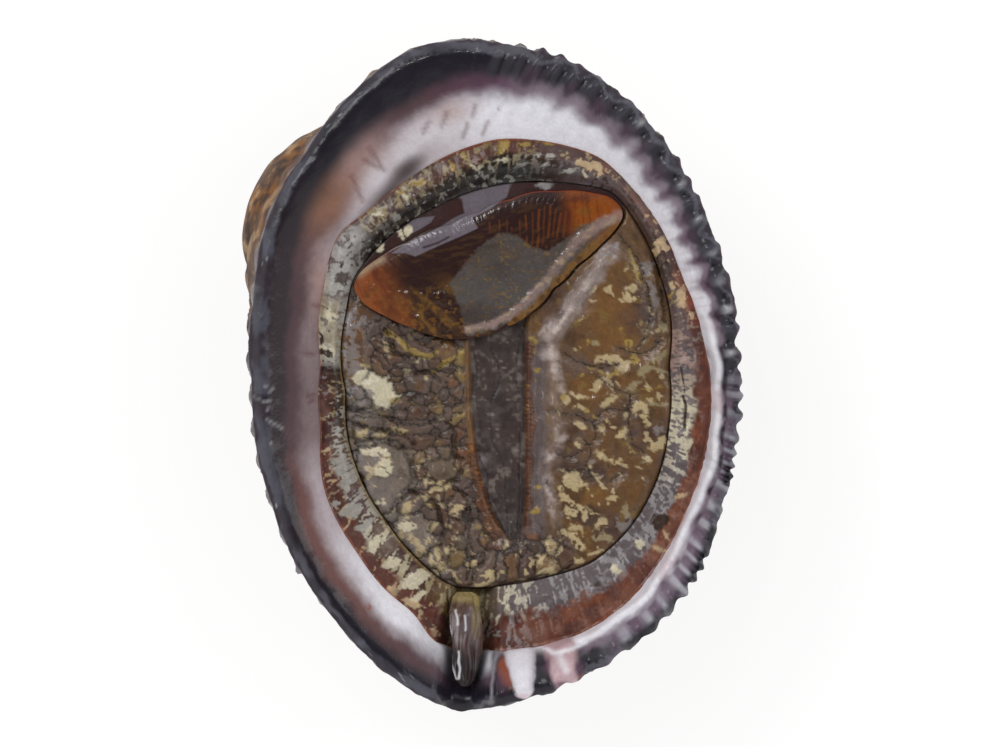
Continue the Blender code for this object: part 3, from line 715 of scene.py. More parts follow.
# Grey squiggles along the left rim: painted glints on its wet edge.
LIP_GLINT_SQUIGGLES = [
    [(-6.22, -0.47), (-6.12, -0.36)], [(-6.66, -0.62), (-6.5, -0.66), (-6.35, -0.75), (-6.2, -0.7)],
    [(-6.29, -0.98), (-6.25, -0.92)], [(-6.3, -1.24), (-6.16, -1.32), (-5.98, -1.42), (-5.86, -1.5)],
    [(-6.36, -0.3), (-6.3, -0.34)], [(-6.19, -1.88), (-6.19, -1.93)]]

# The canal's curled end, the rusty flank of the white tooth, and the painted gleam on the rosy one
CANAL_END = [(0.06, -7.9), (0.2, -7.74), (0.46, -7.68)]
TOOTH_FLANK = [(0.5, -7.9), (0.26, -7.84), (0.12, -8.02), (0.12, -8.3), (0.28, -8.62), (0.62, -8.84)]
SECOND_TOOTH_GLEAM = [(1.45, -7.62), (1.7, -7.72), (2.1, -7.66), (2.55, -7.45)]


def shell_bearings():
    """Bearings of the shell's columns: closest at the teeth, close on the ribs, wide on the smooth side."""
    stretches = [(-100.0, -70.0, TEETH_COLUMNS), (-70.0, 98.0, RIBBED_COLUMNS), (98.0, 260.0, SMOOTH_COLUMNS)]
    return np.radians(np.concatenate([
        np.linspace(low, high, count, endpoint=False) for low, high, count in stretches]))


def lobe_strength(degrees):
    """1 on the crests that carry a dark lobe."""
    strength = np.zeros(degrees.shape)
    for number, crest in enumerate(LOBE_BEARINGS):
        half_width = 1.5 + 0.5 * math.sin(2.4 * number)
        strength = np.maximum(strength, near(degrees - crest, half_width))
    return strength


def lip_ground(points, degrees, ribbed, reach):
    """The lip's bands from the rim inwards: grey wet edge, partly own grey and partly painted reflection,
    black band, wine or brown glow and pale floor.
    """
    columns = [by_bearing(degrees, LIP_BANDS, column) for column in range(1, 7)]
    grey_end, black_end, glow_at, pale_at, glow, pale = columns
    to_left = smooth_step(120.0, 160.0, np.abs(degrees))
    black = tone("black") + (tone("warm black") - tone("black")) * to_left[:, None]
    smooth_side = smooth_step(92.0, 104.0, degrees) + smooth_step(-84.0, -96.0, degrees)
    # The grey edge band: partly the rim's own grey, partly a painted reflection of the wet rim.
    clouds = noise(points, 0.9, 59) + 0.5 * noise(points, 0.22, 60)
    faded = 0.8 * smooth_side * smooth_step(-0.25, 0.45, clouds)
    grey = tone("grey and sheen") + (black - tone("grey and sheen")) * faded[:, None]
    soft_glow = 0.55 + 0.45 * noise(points, 1.3, 61)
    glow = pale + (glow - pale) * (1.0 - 0.35 * (1.0 - soft_glow) * ribbed)[:, None]
    return shade_bands(reach, [
        (0.02, tone("edge line")), (0.09, grey), (grey_end * 0.9, grey),
        (grey_end * 1.1 + 0.04, black), (black_end, black), (glow_at, glow), (pale_at, pale)])


def paint_lip(points, bearing):
    """The lip's face: its bands with lobes on the ribs, then glints, pockets, the left shelf and teeth."""
    x, y = points[:, 0], points[:, 1]
    degrees = degrees_of(bearing)
    depth = rim_distance(bearing) - np.hypot(x - CENTRE[0], y - CENTRE[1])
    slanted = degrees_of(rib_bearing(bearing, np.clip(depth, 0.0, 2.5)))
    ribbed = smooth_step(-72.0, -60.0, degrees) * smooth_step(92.0, 80.0, degrees)
    wander = 0.12 * noise(points, 1.1, 41) + 0.07 * noise(points, 0.4, 42) + 0.05 * noise(points, 0.12, 43)
    lobe = lobe_strength(slanted) * ribbed
    reach = depth + wander - 0.2 * lobe * near(depth, 1.6) + 0.06 * ribbed * (1.0 - lobe)
    tint = lip_ground(points, degrees, ribbed, reach)
    lay(tint, "wine", 0.45 * lobe * smooth_step(0.35, 0.6, depth) * smooth_step(1.2, 0.8, depth + wander))
    crest = smooth_step(0.5, 0.95, rib_relief(np.radians(slanted))) * ribbed
    # Painted highlight: the rib crests are laid greyer near the rim.
    lay(tint, "grey and sheen", 0.45 * crest * smooth_step(0.05, 0.15, depth) * smooth_step(0.75, 0.35, depth))
    # Painted glints: pale spots on the rib crests near the rim.
    spark = smooth_step(-0.1, 0.7, noise_along(degrees * 0.3, 50))
    spot = near(depth - 0.3 + 0.1 * spark, 0.15)
    lay(tint, "glint", 0.85 * crest * spot * spark * smooth_step(82.0, 72.0, degrees))
    streaks = noise(flat(slanted * 1.4, depth * 1.2), 1.0, 45)
    lay(tint, "violet", 0.3 * ribbed * smooth_step(0.1, 0.9, streaks) * smooth_step(0.6, 0.9, depth)
        * smooth_step(1.6, 1.1, depth))
    # Brightness mottling over the wet edge band, which is partly a painted reflection, on the smooth side.
    wet = noise(points, 0.35, 53) + 0.6 * noise(points, 0.12, 54)
    wet_edge = smooth_step(0.75, 0.45, depth)
    tint *= (1.0 + 0.22 * wet * wet_edge * smooth_step(95.0, 110.0, np.abs(degrees)))[:, None]
    # Painted glints: pale specks along the rim.
    specks = smooth_step(0.95, 1.15, noise(points, 0.07, 55) + 0.6 * noise(points, 0.4, 56))
    lay(tint, "glint", 0.7 * specks * smooth_step(0.4, 0.25, depth))
    lay(tint, "wine", 0.3 * smooth_step(0.05, 0.0, depth + 0.03 * noise(points, 0.5, 46)))
    paint_pockets(tint, points, degrees, slanted, depth)
    paint_left_shelf(tint, points)
    paint_teeth(tint, points, bearing)
    mottle = 0.9 * noise(points, 0.22, 48) + 0.7 * noise(points, 0.09, 49)
    tint *= (1.0 + 0.05 * mottle * smooth_step(0.3, 0.6, depth))[:, None]
    return tint


def paint_pockets(tint, points, degrees, slanted, depth):
    """The lower right of the lip: grey ribs with painted shade in the dark pockets between them, outside the
    pale inner ridge.
    """
    x, y = points[:, 0], points[:, 1]
    relief = rib_relief(np.radians(slanted))
    window = smooth_step(-70.0, -62.0, degrees) * smooth_step(4.0, -10.0, degrees)
    ridge_gap, present = inner_ridge(x, y, np.radians(degrees))
    outer = smooth_step(0.26, 0.36, ridge_gap) * smooth_step(1.15, 0.9, depth)
    lay(tint, "violet", window * outer)
    # Grey near the rim, partly a painted reflection of the wet edge.
    lay(tint, "grey and sheen", 0.8 * window * outer * smooth_step(0.5, 0.2, depth))
    uneven = 0.3 * noise(points, 0.45, 62) + 0.12 * noise(points, 0.15, 67)
    by_rib = noise_along(degrees / 7.0, 68)
    lay(tint, "rib grey", (0.6 + 0.3 * by_rib) * window * outer * smooth_step(0.55, 0.95, relief + uneven))
    # Painted shade in the pockets between the ribs.
    pocket = smooth_step(0.5, 0.15, relief + uneven) * smooth_step(0.1, 0.25, depth)
    lay(tint, "pocket", (0.6 - 0.35 * by_rib) * window * outer * pocket)
    rosy_pocket = smooth_step(0.2, 0.7, noise(points, 0.8, 58))
    lay(tint, "wine", 0.6 * window * outer * pocket * rosy_pocket)
    rim_spots = smooth_step(-0.1, 0.2, noise_along(slanted * 0.45, 52))
    lay(tint, "black", window * rim_spots * smooth_step(0.3, 0.12, depth))
    lay(tint, "lavender", 0.8 * smooth_step(0.22, 0.08, ridge_gap) * present)
    lay(tint, "white", 0.6 * near(ridge_gap, RIDGE_WIDTH * 0.7) * present)
    rosy = smooth_step(0.1, 0.6, noise(points, 0.7, 57))
    lay(tint, "pink", 0.5 * rosy * smooth_step(0.24, 0.12, ridge_gap) * present)


def paint_left_shelf(tint, points):
    """Tan and rosy clouds, brown painted shade along the mantle's edge, fine hairlines and painted glints on
    the smooth side's shelf.
    """
    x, y = points[:, 0], points[:, 1]
    cloud = 0.75 + 0.25 * noise(points, 0.5, 63)
    lay(tint, "tan orange", 0.85 * cloud * blotch(x, y, (-4.3, 5.0, 0.95, 0.42, 55), 0.4))
    lay(tint, "tan orange", 0.2 * cloud * blotch(x, y, (-4.95, 3.9, 0.7, 0.3, 70), 0.35))
    lay(tint, "rose tan", 0.85 * cloud * blotch(x, y, (-3.55, 6.05, 0.8, 0.42, 48), 0.4))
    lay(tint, "rose tan", 0.6 * cloud * blotch(x, y, (-1.1, 7.3, 0.55, 0.28, 15), 0.3))
    lay(tint, "tan orange", 0.3 * blotch(x, y, (-1.25, 7.25, 0.28, 0.2, 10), 0.2))
    lay(tint, "white", 0.45 * cloud * blotches(x, y, [
        (-3.3, 5.55, 0.26, 0.42, -40), (-1.95, 6.6, 0.95, 0.3, 30), (-0.2, 6.95, 0.8, 0.3, 8)], 0.3))
    # Painted shade: brown patches along the mantle's edge.
    lay(tint, "smudge and shade", 0.9 * blotch(x, y, (-2.92, 5.1, 1.1, 0.2, 47), 0.22))
    lay(tint, "smudge and shade", 0.85 * blotch(x, y, (-2.4, 5.72, 0.45, 0.22, 38), 0.18))
    for line in LIP_HAIRLINES:
        lay(tint, "hairline", 0.6 * stroke(x + 0.02 * noise(points, 0.15, 64), y, line, 0.045, 0.08))
    ragged_x, ragged_y = ragged(x, y, 0.03, 60)
    lay(tint, "spot", 0.8 * blotch(ragged_x, ragged_y, (-3.47, -6.46, 0.1, 0.06, 20)))
    lay(tint, "edge line", 0.9 * blotch(ragged_x, ragged_y, (0.13, 7.44, 0.03, 0.07, 10), 0.03))
    # Painted glints along the left rim.
    for line in LIP_GLINT_SQUIGGLES:
        lay(tint, "glint", 0.7 * stroke(x, y, line, 0.02, 0.06))
    lay(tint, "edge line", 0.9 * blotch(ragged_x, ragged_y, (-6.38, -0.62, 0.2, 0.07, 0), 0.05))


def tooth_mask(x, y, line, widths, soft):
    """1 on a blunt tooth along a line, with a soft edge."""
    return smooth_step(1.0 + soft, 1.0 - soft, tooth_reach(x, y, line, widths))


def paint_teeth(tint, points, bearing):
    """The canal in painted shade, the white tooth beside it with its rusty flank and painted shade on its
    right, and the rosy second tooth with a painted gleam.
    """
    x, y = points[:, 0], points[:, 1]
    warped_x = x + 0.03 * noise(points, 0.2, 65)
    warped_y = y + 0.03 * noise(points, 0.2, 66)
    # Painted shade: the canal is laid near black.
    lay(tint, "black", 0.95 * notch(bearing) ** 0.5)
    low = smooth_step(-7.45, -7.85, y) * smooth_step(-0.15, 0.05, x) * smooth_step(2.7, 2.2, x)
    lay(tint, "black", 0.95 * low)
    rusty = outline_mask(warped_x, warped_y, TOOTH_FLANK, 0.09) * smooth_step(-8.95, -8.45, y)
    lay(tint, "rust", 0.95 * rusty)
    lay(tint, "wine", 0.5 * blotch(x, y, (0.22, -8.55, 0.16, 0.3, 20), 0.12))
    for line in (CANAL_RIDGE, CANAL_END):
        lay(tint, "pale line", 0.75 * stroke(warped_x, warped_y, line, 0.035, 0.05))
    first = tooth_mask(warped_x, warped_y, LABRAL_TOOTH, TOOTH_WIDTHS, 0.14)
    lay(tint, "tooth", first)
    # Painted shade on the white tooth's right side.
    lay(tint, "violet", 0.3 * first * smooth_step(0.15, 0.4, x - 0.75))
    lay(tint, "rosy tip", 0.65 * first * smooth_step(-8.8, -8.98, y))
    second = tooth_mask(warped_x, warped_y, SECOND_TOOTH, SECOND_TOOTH_WIDTHS, 0.22)
    lay(tint, "pink", second)
    lay(tint, "wine", 0.75 * blotches(warped_x, warped_y, [
        (1.5, -8.05, 0.1, 0.26, -10), (2.38, -8.2, 0.14, 0.26, 15), (1.92, -8.62, 0.22, 0.1, 0)], 0.08))
    # Painted gleam on the rosy tooth.
    lay(tint, "white", 0.85 * stroke(warped_x, warped_y, SECOND_TOOTH_GLEAM, 0.05, 0.07))
    lay(tint, "white", 0.6 * second * stroke(warped_x, warped_y, [(1.85, -7.8), (2.0, -8.2)], 0.1, 0.12))
    lay(tint, "rust", 0.6 * blotch(warped_x, warped_y, (2.55, -8.45, 0.2, 0.08, -10), 0.08))


def paint_back(points, bearing, share):
    """The back: brown ribs, violet painted shade in the furrows, growth scales with a painted highlight on
    their raised edges and painted shade below them, pale crusts, painted shade just under the rim, and the
    granular tan spire with painted shade in its coil.
    """
    ribs, _ = back_ribs(bearing)
    tint = plain(len(points), TONES["back brown"])
    lay(tint, "back gold", 0.7 * smooth_step(-0.2, 0.6, noise(points, 1.9, 73)))
    # Painted shade: violet in the furrows between the ribs.
    furrows = smooth_step(0.6, 0.15, ribs + 0.15 * noise(points, 0.4, 77))
    lay(tint, "back violet", 0.75 * furrows * (share > 0.2))
    growth = growth_phase(bearing, share)
    # Painted highlight: paler on the raised edge of each growth scale over the ribs.
    worn = smooth_step(-0.4, 0.5, noise(points, 0.8, 71))
    lay(tint, "back pale", 0.65 * worn * smooth_step(0.55, 0.95, growth) * smooth_step(0.3, 0.8, ribs))
    # Painted shade at the foot of each growth scale's step.
    shaded = smooth_step(-0.5, 0.3, noise(points, 0.6, 78))
    lay(tint, "smudge and shade", 0.6 * smooth_step(0.3, 0.02, growth) * shaded)
    lay(tint, "smudge and shade", 0.4 * smooth_step(0.1, 0.8, noise(points, 1.7, 72)))
    crust = noise(points, 0.9, 79) + 0.6 * noise(points, 0.25, 80)
    lay(tint, "back pale", 0.55 * smooth_step(0.65, 0.95, crust))
    # Painted shade just under the rim's edge.
    lay(tint, "black", 0.85 * smooth_step(0.97, 0.995, share))
    out = np.linalg.norm((points - np.array(SPIRE_CENTRE)) / np.array(SPIRE_RADII), axis=1)
    spire = 1.0 - smooth_step(0.95, 1.65, out + 0.15 * noise(points, 0.6, 74))
    grain = fractal(points, 0.3, 74)
    lay(tint, "spire", spire)
    lay(tint, "spire gold", spire * smooth_step(-0.1, 0.6, noise(points, 0.7, 75) + 0.3 * grain))
    lay(tint, "spire tan", spire * 0.85 * smooth_step(0.2, 0.7, grain))
    lay(tint, "spire dark", spire * 0.9 * smooth_step(-0.1, -0.6, grain))
    around_foot = np.arctan2(points[:, 1] - SPIRE_FOOT[1], points[:, 0] - SPIRE_FOOT[0])
    # Painted shade in the coil's furrow.
    lay(tint, "smudge and shade", 0.8 * spire * smooth_step(0.25, 0.75, coil_furrow(points, around_foot)))
    lay(tint, "back violet", 0.6 * near(out - 1.3, 0.14) * (share < 0.97))
    tint *= (1.0 + 0.14 * fractal(points, 0.14, 76))[:, None]
    return tint


def build_shell():
    """The shell as one skin: up the cavity, out over the lip, and down the back to the spire's foot."""
    bearing = shell_bearings()
    columns = len(bearing)
    lip_shares = np.concatenate([
        np.linspace(0.0, 0.25, 13)[:-1], np.linspace(0.25, 0.8, 19)[:-1], np.linspace(0.8, 1.0, 14)])
    back_shares = np.concatenate([[0.999, 0.996, 0.99], np.linspace(0.98, 0.035, 72)])
    rings = [cavity_ring(bearing, share) for share in (0.38, 0.68, 0.8, 0.88, 0.94, 0.98)]
    tints = [plain(columns, TONES["cavity"]) for _ in rings]
    gloss = [np.full(columns, 0.6) for _ in rings]
    for share in lip_shares:
        rings.append(lip_ring(bearing, share))
        tints.append(paint_lip(rings[-1], bearing))
        gloss.append(np.full(columns, 0.75))
    for share in back_shares:
        rings.append(back_ring(bearing, share))
        tints.append(paint_back(rings[-1], bearing, share))
        gloss.append(np.full(columns, 0.25 * float(smooth_step(0.97, 1.0, share))))
    apex = np.array([[*SPIRE_FOOT, float(outside_height(*SPIRE_FOOT))]])
    poles = [np.array([*CENTRE, CAVITY_FLOOR]), push_spire(apex, np.zeros(1))[0]]
    points = np.concatenate([*rings, poles])
    tint = np.concatenate([*tints, plain(1, TONES["cavity"]), plain(1, TONES["spire"])])
    gloss = np.concatenate([*gloss, [0.6, 0.0]])
    material = make_surface(
        "shell", roughness=0.62, coat=0.7, grain_size=0.1, grain_depth=0.012, speckle=0.06)
    return make_piece("shell_finish", points, tube_faces(len(rings), columns), tint, gloss, material)


def bowl_ring(bearing, distance, top):
    """A level ring round the shell's middle."""
    x, y = plan_point(CENTRE, bearing, distance)
    return np.stack([x, y, np.broadcast_to(top, x.shape)], axis=-1)


def rest_on_cavity(ring, lift):
    """Set a ring's height to the cavity's wall plus a lift."""
    ring = ring.copy()
    ring[:, 2] = cavity_height(ring[:, 0], ring[:, 1]) + lift
    return ring


# The mantle


MANTLE_COLUMNS = 1200
MANTLE_ROWS = 66
SIPHON_BED_DEGREES = 5.4
# The mantle's looks by bearing: the outer band's ground, its flecks and how much they cover, the inner band's
# ground, flecks and cover, and the share of the way in where the one turns into the other
# At the top, the inner band's near black ground stands for painted shade.
MANTLE_ZONES = [
    (-178, "deep red", "dull cream", 0.18, "dark brown", "dull cream", 0.3, 0.6),
    (-168, "deep red", "dull cream", 0.22, "dark brown", "grey cream", 0.4, 0.55),
    (-155, "red brown", "warm cream", 0.25, "grey brown", "grey cream", 0.6, 0.42),
    (-140, "red brown", "warm cream", 0.28, "violet brown", "grey cream", 0.6, 0.38),
    (-125, "red brown", "warm cream", 0.3, "violet brown", "pale cream", 0.62, 0.36),
    (-110, "red brown", "warm cream", 0.35, "deep red", "dull cream", 0.45, 0.5),
    (-97, "deep red", "dull cream", 0.25, "dull yellow", "dull cream", 0.5, 0.5),
    (-88, "red brown", "milky", 0.4, "violet grey", "pale cream", 0.45, 0.6),
    (-75, "rust brown", "soft rust", 0.3, "violet grey", "milky", 0.45, 0.5),
    (-55, "rust brown", "soft rust", 0.35, "violet grey", "milky", 0.42, 0.45),
    (-35, "rust brown", "soft rust", 0.4, "violet grey", "milky", 0.48, 0.45),
    (-22, "rust brown", "soft rust", 0.3, "violet grey", "pale cream", 0.55, 0.42),
    (-8, "rust brown", "rust", 0.12, "soft grey", "pale cream", 0.55, 0.42),
    (3, "rust brown", "amber", 0.15, "violet grey", "pink tan", 0.62, 0.4),
    (12, "red brown", "pink tan", 0.3, "plum grey", "pink tan", 0.4, 0.35),
    (22, "rust", "warm cream", 0.28, "plum grey", "dull cream", 0.25, 0.35),
    (35, "violet brown", "warm cream", 0.26, "dark brown", "grey brown", 0.3, 0.45),
    (52, "plum grey", "violet brown", 0.3, "violet brown", "dark brown", 0.3, 0.5),
    (64, "violet brown", "warm cream", 0.38, "violet grey", "dark brown", 0.4, 0.5),
    (76, "violet brown", "dull cream", 0.3, "dark brown", "mauve", 0.3, 0.45),
    (88, "red brown", "dull yellow", 0.34, "deep", "dull cream", 0.24, 0.4),
    (100, "red brown", "dull cream", 0.36, "dark brown", "dull cream", 0.28, 0.44),
    (115, "violet brown", "dull cream", 0.44, "dark brown", "dull cream", 0.36, 0.5),
    (128, "violet brown", "dull cream", 0.46, "dark brown", "grey cream", 0.38, 0.55),
    (136, "violet brown", "grey cream", 0.52, "dark brown", "dull cream", 0.3, 0.65),
    (142, "grey cream", "soft grey", 0.25, "dark brown", "violet brown", 0.35, 0.72),
    (155, "pale cream", "violet brown", 0.2, "grey cream", "violet brown", 0.28, 0.7),
    (170, "pale cream", "grey cream", 0.3, "grey cream", "dull cream", 0.3, 0.75),
    (174, "grey cream", "deep red", 0.25, "grey cream", "olive", 0.3, 0.75),
    (177, "deep red", "deep", 0.3, "dark brown", "deep", 0.4, 0.6)]
MANTLE_SPOTS = {
    "dark brown": [
        (-4.25, 3.65, 0.13, 0.08, -30), (-3.98, 3.62, 0.1, 0.05, 30), (-3.6, 3.72, 0.08, 0.1, 0),
        (-4.25, 3.05, 0.08, 0.05, 20), (-4.5, 3.22, 0.05, 0.04, 0), (-4.61, 2.88, 0.04, 0.04, 0),
        (-4.2, 2.68, 0.26, 0.16, 20), (-3.6, 3.35, 0.15, 0.2, -30), (-4.7, 0.62, 0.22, 0.08, 0),
        (4.6, -4.05, 0.24, 0.2, -30), (2.92, -5.8, 0.14, 0.08, 10), (-4.8, 1.05, 0.04, 0.22, 15)],
    "pale cream": [
        (-3.28, 4.48, 0.14, 0.08, 10), (-2.46, 4.95, 0.14, 0.06, -55), (0.25, 5.95, 0.14, 0.05, 10),
        (-0.5, 5.8, 0.16, 0.05, -20), (2.58, 5.6, 0.1, 0.06, -30), (5.38, -1.9, 0.22, 0.12, 40),
        (5.38, -1.4, 0.08, 0.08, 0), (4.1, -4.7, 0.14, 0.1, 30), (3.42, -5.42, 0.14, 0.12, 0),
        (-3.32, -4.78, 0.34, 0.13, 52), (-2.18, -5.7, 0.45, 0.2, 25), (-2.88, -5.22, 0.32, 0.12, 30),
        (-2.1, -6.15, 0.3, 0.12, 30), (0.1, -6.8, 0.14, 0.05, 60)],
    "grey cream": [
        (-3.95, -3.78, 0.32, 0.16, 20), (-3.62, -4.2, 0.3, 0.12, 40), (-3.85, -4.45, 0.14, 0.06, 0),
        (-4.45, -3.62, 0.1, 0.12, 0), (-3.3, -3.7, 0.18, 0.3, 20), (-2.8, -4.6, 0.18, 0.14, 30),
        (0.72, 5.8, 0.3, 0.05, 28), (1.6, 6.1, 0.12, 0.08, 10), (2.1, 5.66, 0.26, 0.05, 12),
        (1.4, 5.83, 0.14, 0.04, 15), (1.25, 6.12, 0.1, 0.03, 0)],
    "warm cream": [
        (4.5, 4.24, 0.09, 0.06, -50), (4.62, 3.72, 0.18, 0.1, 30), (4.78, 3.55, 0.16, 0.12, 0),
        (4.5, 3.48, 0.12, 0.08, 70), (4.95, 2.5, 0.07, 0.12, 0), (5.2, 2.15, 0.13, 0.25, 12),
        (5.12, 2.55, 0.04, 0.06, 0), (4.25, 4.4, 0.05, 0.07, 0), (2.45, 5.86, 0.2, 0.11, -10),
        (2.78, 5.82, 0.28, 0.14, -22), (2.65, 6.2, 0.06, 0.1, 0), (2.98, 5.68, 0.14, 0.08, -40),
        (5.45, 1.7, 0.08, 0.1, 30), (-2.25, -6.38, 0.3, 0.12, -20), (-2.85, -5.9, 0.16, 0.1, 30),
        (4.8, -4.45, 0.16, 0.05, -60), (4.6, -4.85, 0.24, 0.05, -15), (5.2, -3.35, 0.24, 0.08, 5)],
    "yellow": [
        (-0.88, 6.12, 0.07, 0.14, 20), (0.3, 6.4, 0.14, 0.12, 0), (0.2, 6.22, 0.06, 0.1, 20),
        (0.88, 6.44, 0.16, 0.06, -15), (1.52, 6.46, 0.2, 0.04, 0), (-1.15, 5.82, 0.07, 0.16, 15),
        (4.92, 2.2, 0.05, 0.1, 0), (-2.6, 5.05, 0.12, 0.06, 30), (-2.1, 5.35, 0.2, 0.08, 10)],
    "red brown": [
        (-3.85, -4.55, 0.28, 0.2, -50), (-3.02, -5.62, 0.34, 0.2, -40), (-2.55, -6.12, 0.12, 0.2, -50),
        (-3.48, -5.1, 0.22, 0.14, -50), (-1.7, -6.6, 0.4, 0.1, 35)],
    "grey brown": [
        (-2.9, -4.8, 0.34, 0.18, 40), (-3.25, -4.32, 0.24, 0.16, 40), (-2.25, -5.42, 0.12, 0.1, 20)]}
MANTLE_SLITS = [
    ([(5.22, 0.2), (5.3, -0.25)], 0.015), ([(5.28, -0.6), (5.36, -0.85), (5.32, -1.45)], 0.032),
    ([(5.33, -0.3), (5.31, -0.5)], 0.008), ([(-1.28, -6.0), (-1.25, -6.6), (-1.32, -7.2)], 0.03)]


def mantle_height(x, y, across, bearing):
    """The mantle's upper face: across is 0 at the lip and 1 at the foot."""
    degrees = degrees_of(bearing)
    siphon_bed = 0.72 * np.exp(-((degrees - NOTCH_BEARING) / SIPHON_BED_DEGREES) ** 4)
    middle = np.sin(math.pi * np.clip(across, 0.0, 1.0))
    crown = 0.16 * middle ** 0.8
    top = smooth_step(40.0, 75.0, degrees) * smooth_step(150.0, 135.0, degrees)
    fall = (0.16 + 0.08 * top) * smooth_step(0.72 - 0.1 * top, 1.0, across)
    fall = fall - 0.06 * smooth_step(0.08, 0.0, across)
    points = flat(x, y)
    lumps = 0.05 * noise(points, 0.9, 31) + 0.035 * noise(points, 0.35, 32) + 0.012 * noise(points, 0.12, 33)
    wrinkles = noise(flat(np.degrees(bearing) * 0.9, across * 1.6), 1.0, 34)
    slits = np.zeros(x.shape)
    for line, half_width in MANTLE_SLITS:
        slits = np.maximum(slits, stroke(x, y, line, half_width, 0.03) * (0.5 + 5.0 * half_width))
    waves = (lumps + 0.016 * wrinkles) * middle ** 0.5
    return MANTLE_LEVEL + crown - fall - siphon_bed + waves - 0.16 * slits


def flecks(points, degrees, across, cover, seed):
    """Ragged flecks, drawn out across the band, that cover about that share of the skin."""
    drawn = flat(degrees * 0.19, across * 0.75)
    field = 0.5 * noise(drawn, 0.26, seed) + 0.5 * noise(drawn, 0.11, seed + 1)
    field += 0.22 * noise(points, 0.24, seed + 2) + 0.36 * noise(points, 0.06, seed + 3)
    level = 0.75 - 1.5 * cover
    return smooth_step(level - 0.12, level + 0.12, field)


def paint_mantle(points, bearing, across):
    """An outer and an inner band with their flecks by bearing, then clouds, spots, slits and a swelling, with
    painted shade along the foot and at the top of the inner band.
    """
    x, y = points[:, 0], points[:, 1]
    level = flat(x, y)
    degrees = degrees_of(bearing)
    columns = [by_bearing(degrees, MANTLE_ZONES, column) for column in range(1, 8)]
    outer, outer_fleck, outer_cover, inner, inner_fleck, inner_cover, split = columns
    past_split = across - split + 0.1 * noise(level, 0.5, 81) + 0.06 * noise(level, 0.14, 82)
    turn = smooth_step(-0.09, 0.09, past_split)
    tint = outer + (inner - outer) * turn[:, None]
    outer_mask = flecks(level, degrees, across, outer_cover, 84) * (1.0 - turn)
    inner_mask = flecks(level, degrees, across, inner_cover, 90) * turn
    tint += (outer_fleck - tint) * (0.9 * outer_mask)[:, None]
    tint += (inner_fleck - tint) * (0.9 * inner_mask)[:, None]
    clouds = noise(level, 0.55, 39) + 0.5 * noise(level, 0.2, 40)
    lay(tint, "deep red", 0.55 * (1.0 - turn) * smooth_step(-0.1, 0.7, clouds))
    to_right = smooth_step(75.0, 60.0, degrees)
    lay(tint, "soft rust", 0.45 * (1.0 - turn) * smooth_step(0.1, -0.7, clouds) * to_right)
    paint_mantle_spots(tint, x, y, level)
    lay(tint, "dull yellow", 0.6 * smooth_step(0.9, 0.96, across) * by_low_left(degrees))
    # Painted shade along the mantle's edge at the foot.
    lay(tint, "deep", 0.55 * smooth_step(0.985, 1.0, across))
    # Painted shade over the top of the inner band, under grey cream flecks.
    before_left = smooth_step(146.0, 132.0, degrees)
    lay(tint, "deep", 0.8 * smooth_step(0.38, 0.75, across) * smooth_step(70.0, 84.0, degrees) * before_left)
    thin_flecks = smooth_step(0.35, 0.6, noise(level, 0.12, 37) + 0.6 * noise(level, 0.05, 38))
    thin_flecks = 0.55 * thin_flecks * smooth_step(0.4, 0.6, across)
    lay(tint, "grey cream", thin_flecks * smooth_step(78.0, 88.0, degrees) * before_left)
    lay(tint, "rust", 0.6 * smooth_step(0.09, 0.0, across) * smooth_step(-0.6, 0.1, noise(level, 0.5, 99)))
    tint *= (1.0 + 0.1 * noise(level, 0.16, 97) + 0.08 * noise(level, 0.07, 98))[:, None]
    return tint


def paint_mantle_spots(tint, x, y, level):
    """The mantle's named spots, its slits darkened with painted shade, and the pale freckled swelling at its
    left.
    """
    ragged_x, ragged_y = ragged(x, y, 0.06, 96)
    for name, spots in MANTLE_SPOTS.items():
        lay(tint, name, 0.92 * blotches(ragged_x, ragged_y, spots))
    # Painted shade in the slits.
    for line, half_width in MANTLE_SLITS:
        lay(tint, "dark brown", 0.75 * stroke(x, y, line, half_width))
    swelling = blotch(ragged_x, ragged_y, (-4.12, 3.1, 1.05, 0.52, 68), 0.1)
    lay(tint, "pale swelling", 0.8 * swelling)
    freckles = noise(level, 0.24, 36) + 0.6 * noise(level, 0.09, 33)
    lay(tint, "violet brown", 0.85 * swelling * smooth_step(0.45, 0.62, freckles))
    lay(tint, "dark brown", 0.85 * blotches(ragged_x, ragged_y, MANTLE_SPOTS["dark brown"]))


def by_low_left(degrees):
    """1 round the mantle's left and lower left."""
    return np.maximum(smooth_step(-104.0, -112.0, degrees), smooth_step(168.0, 172.0, degrees))


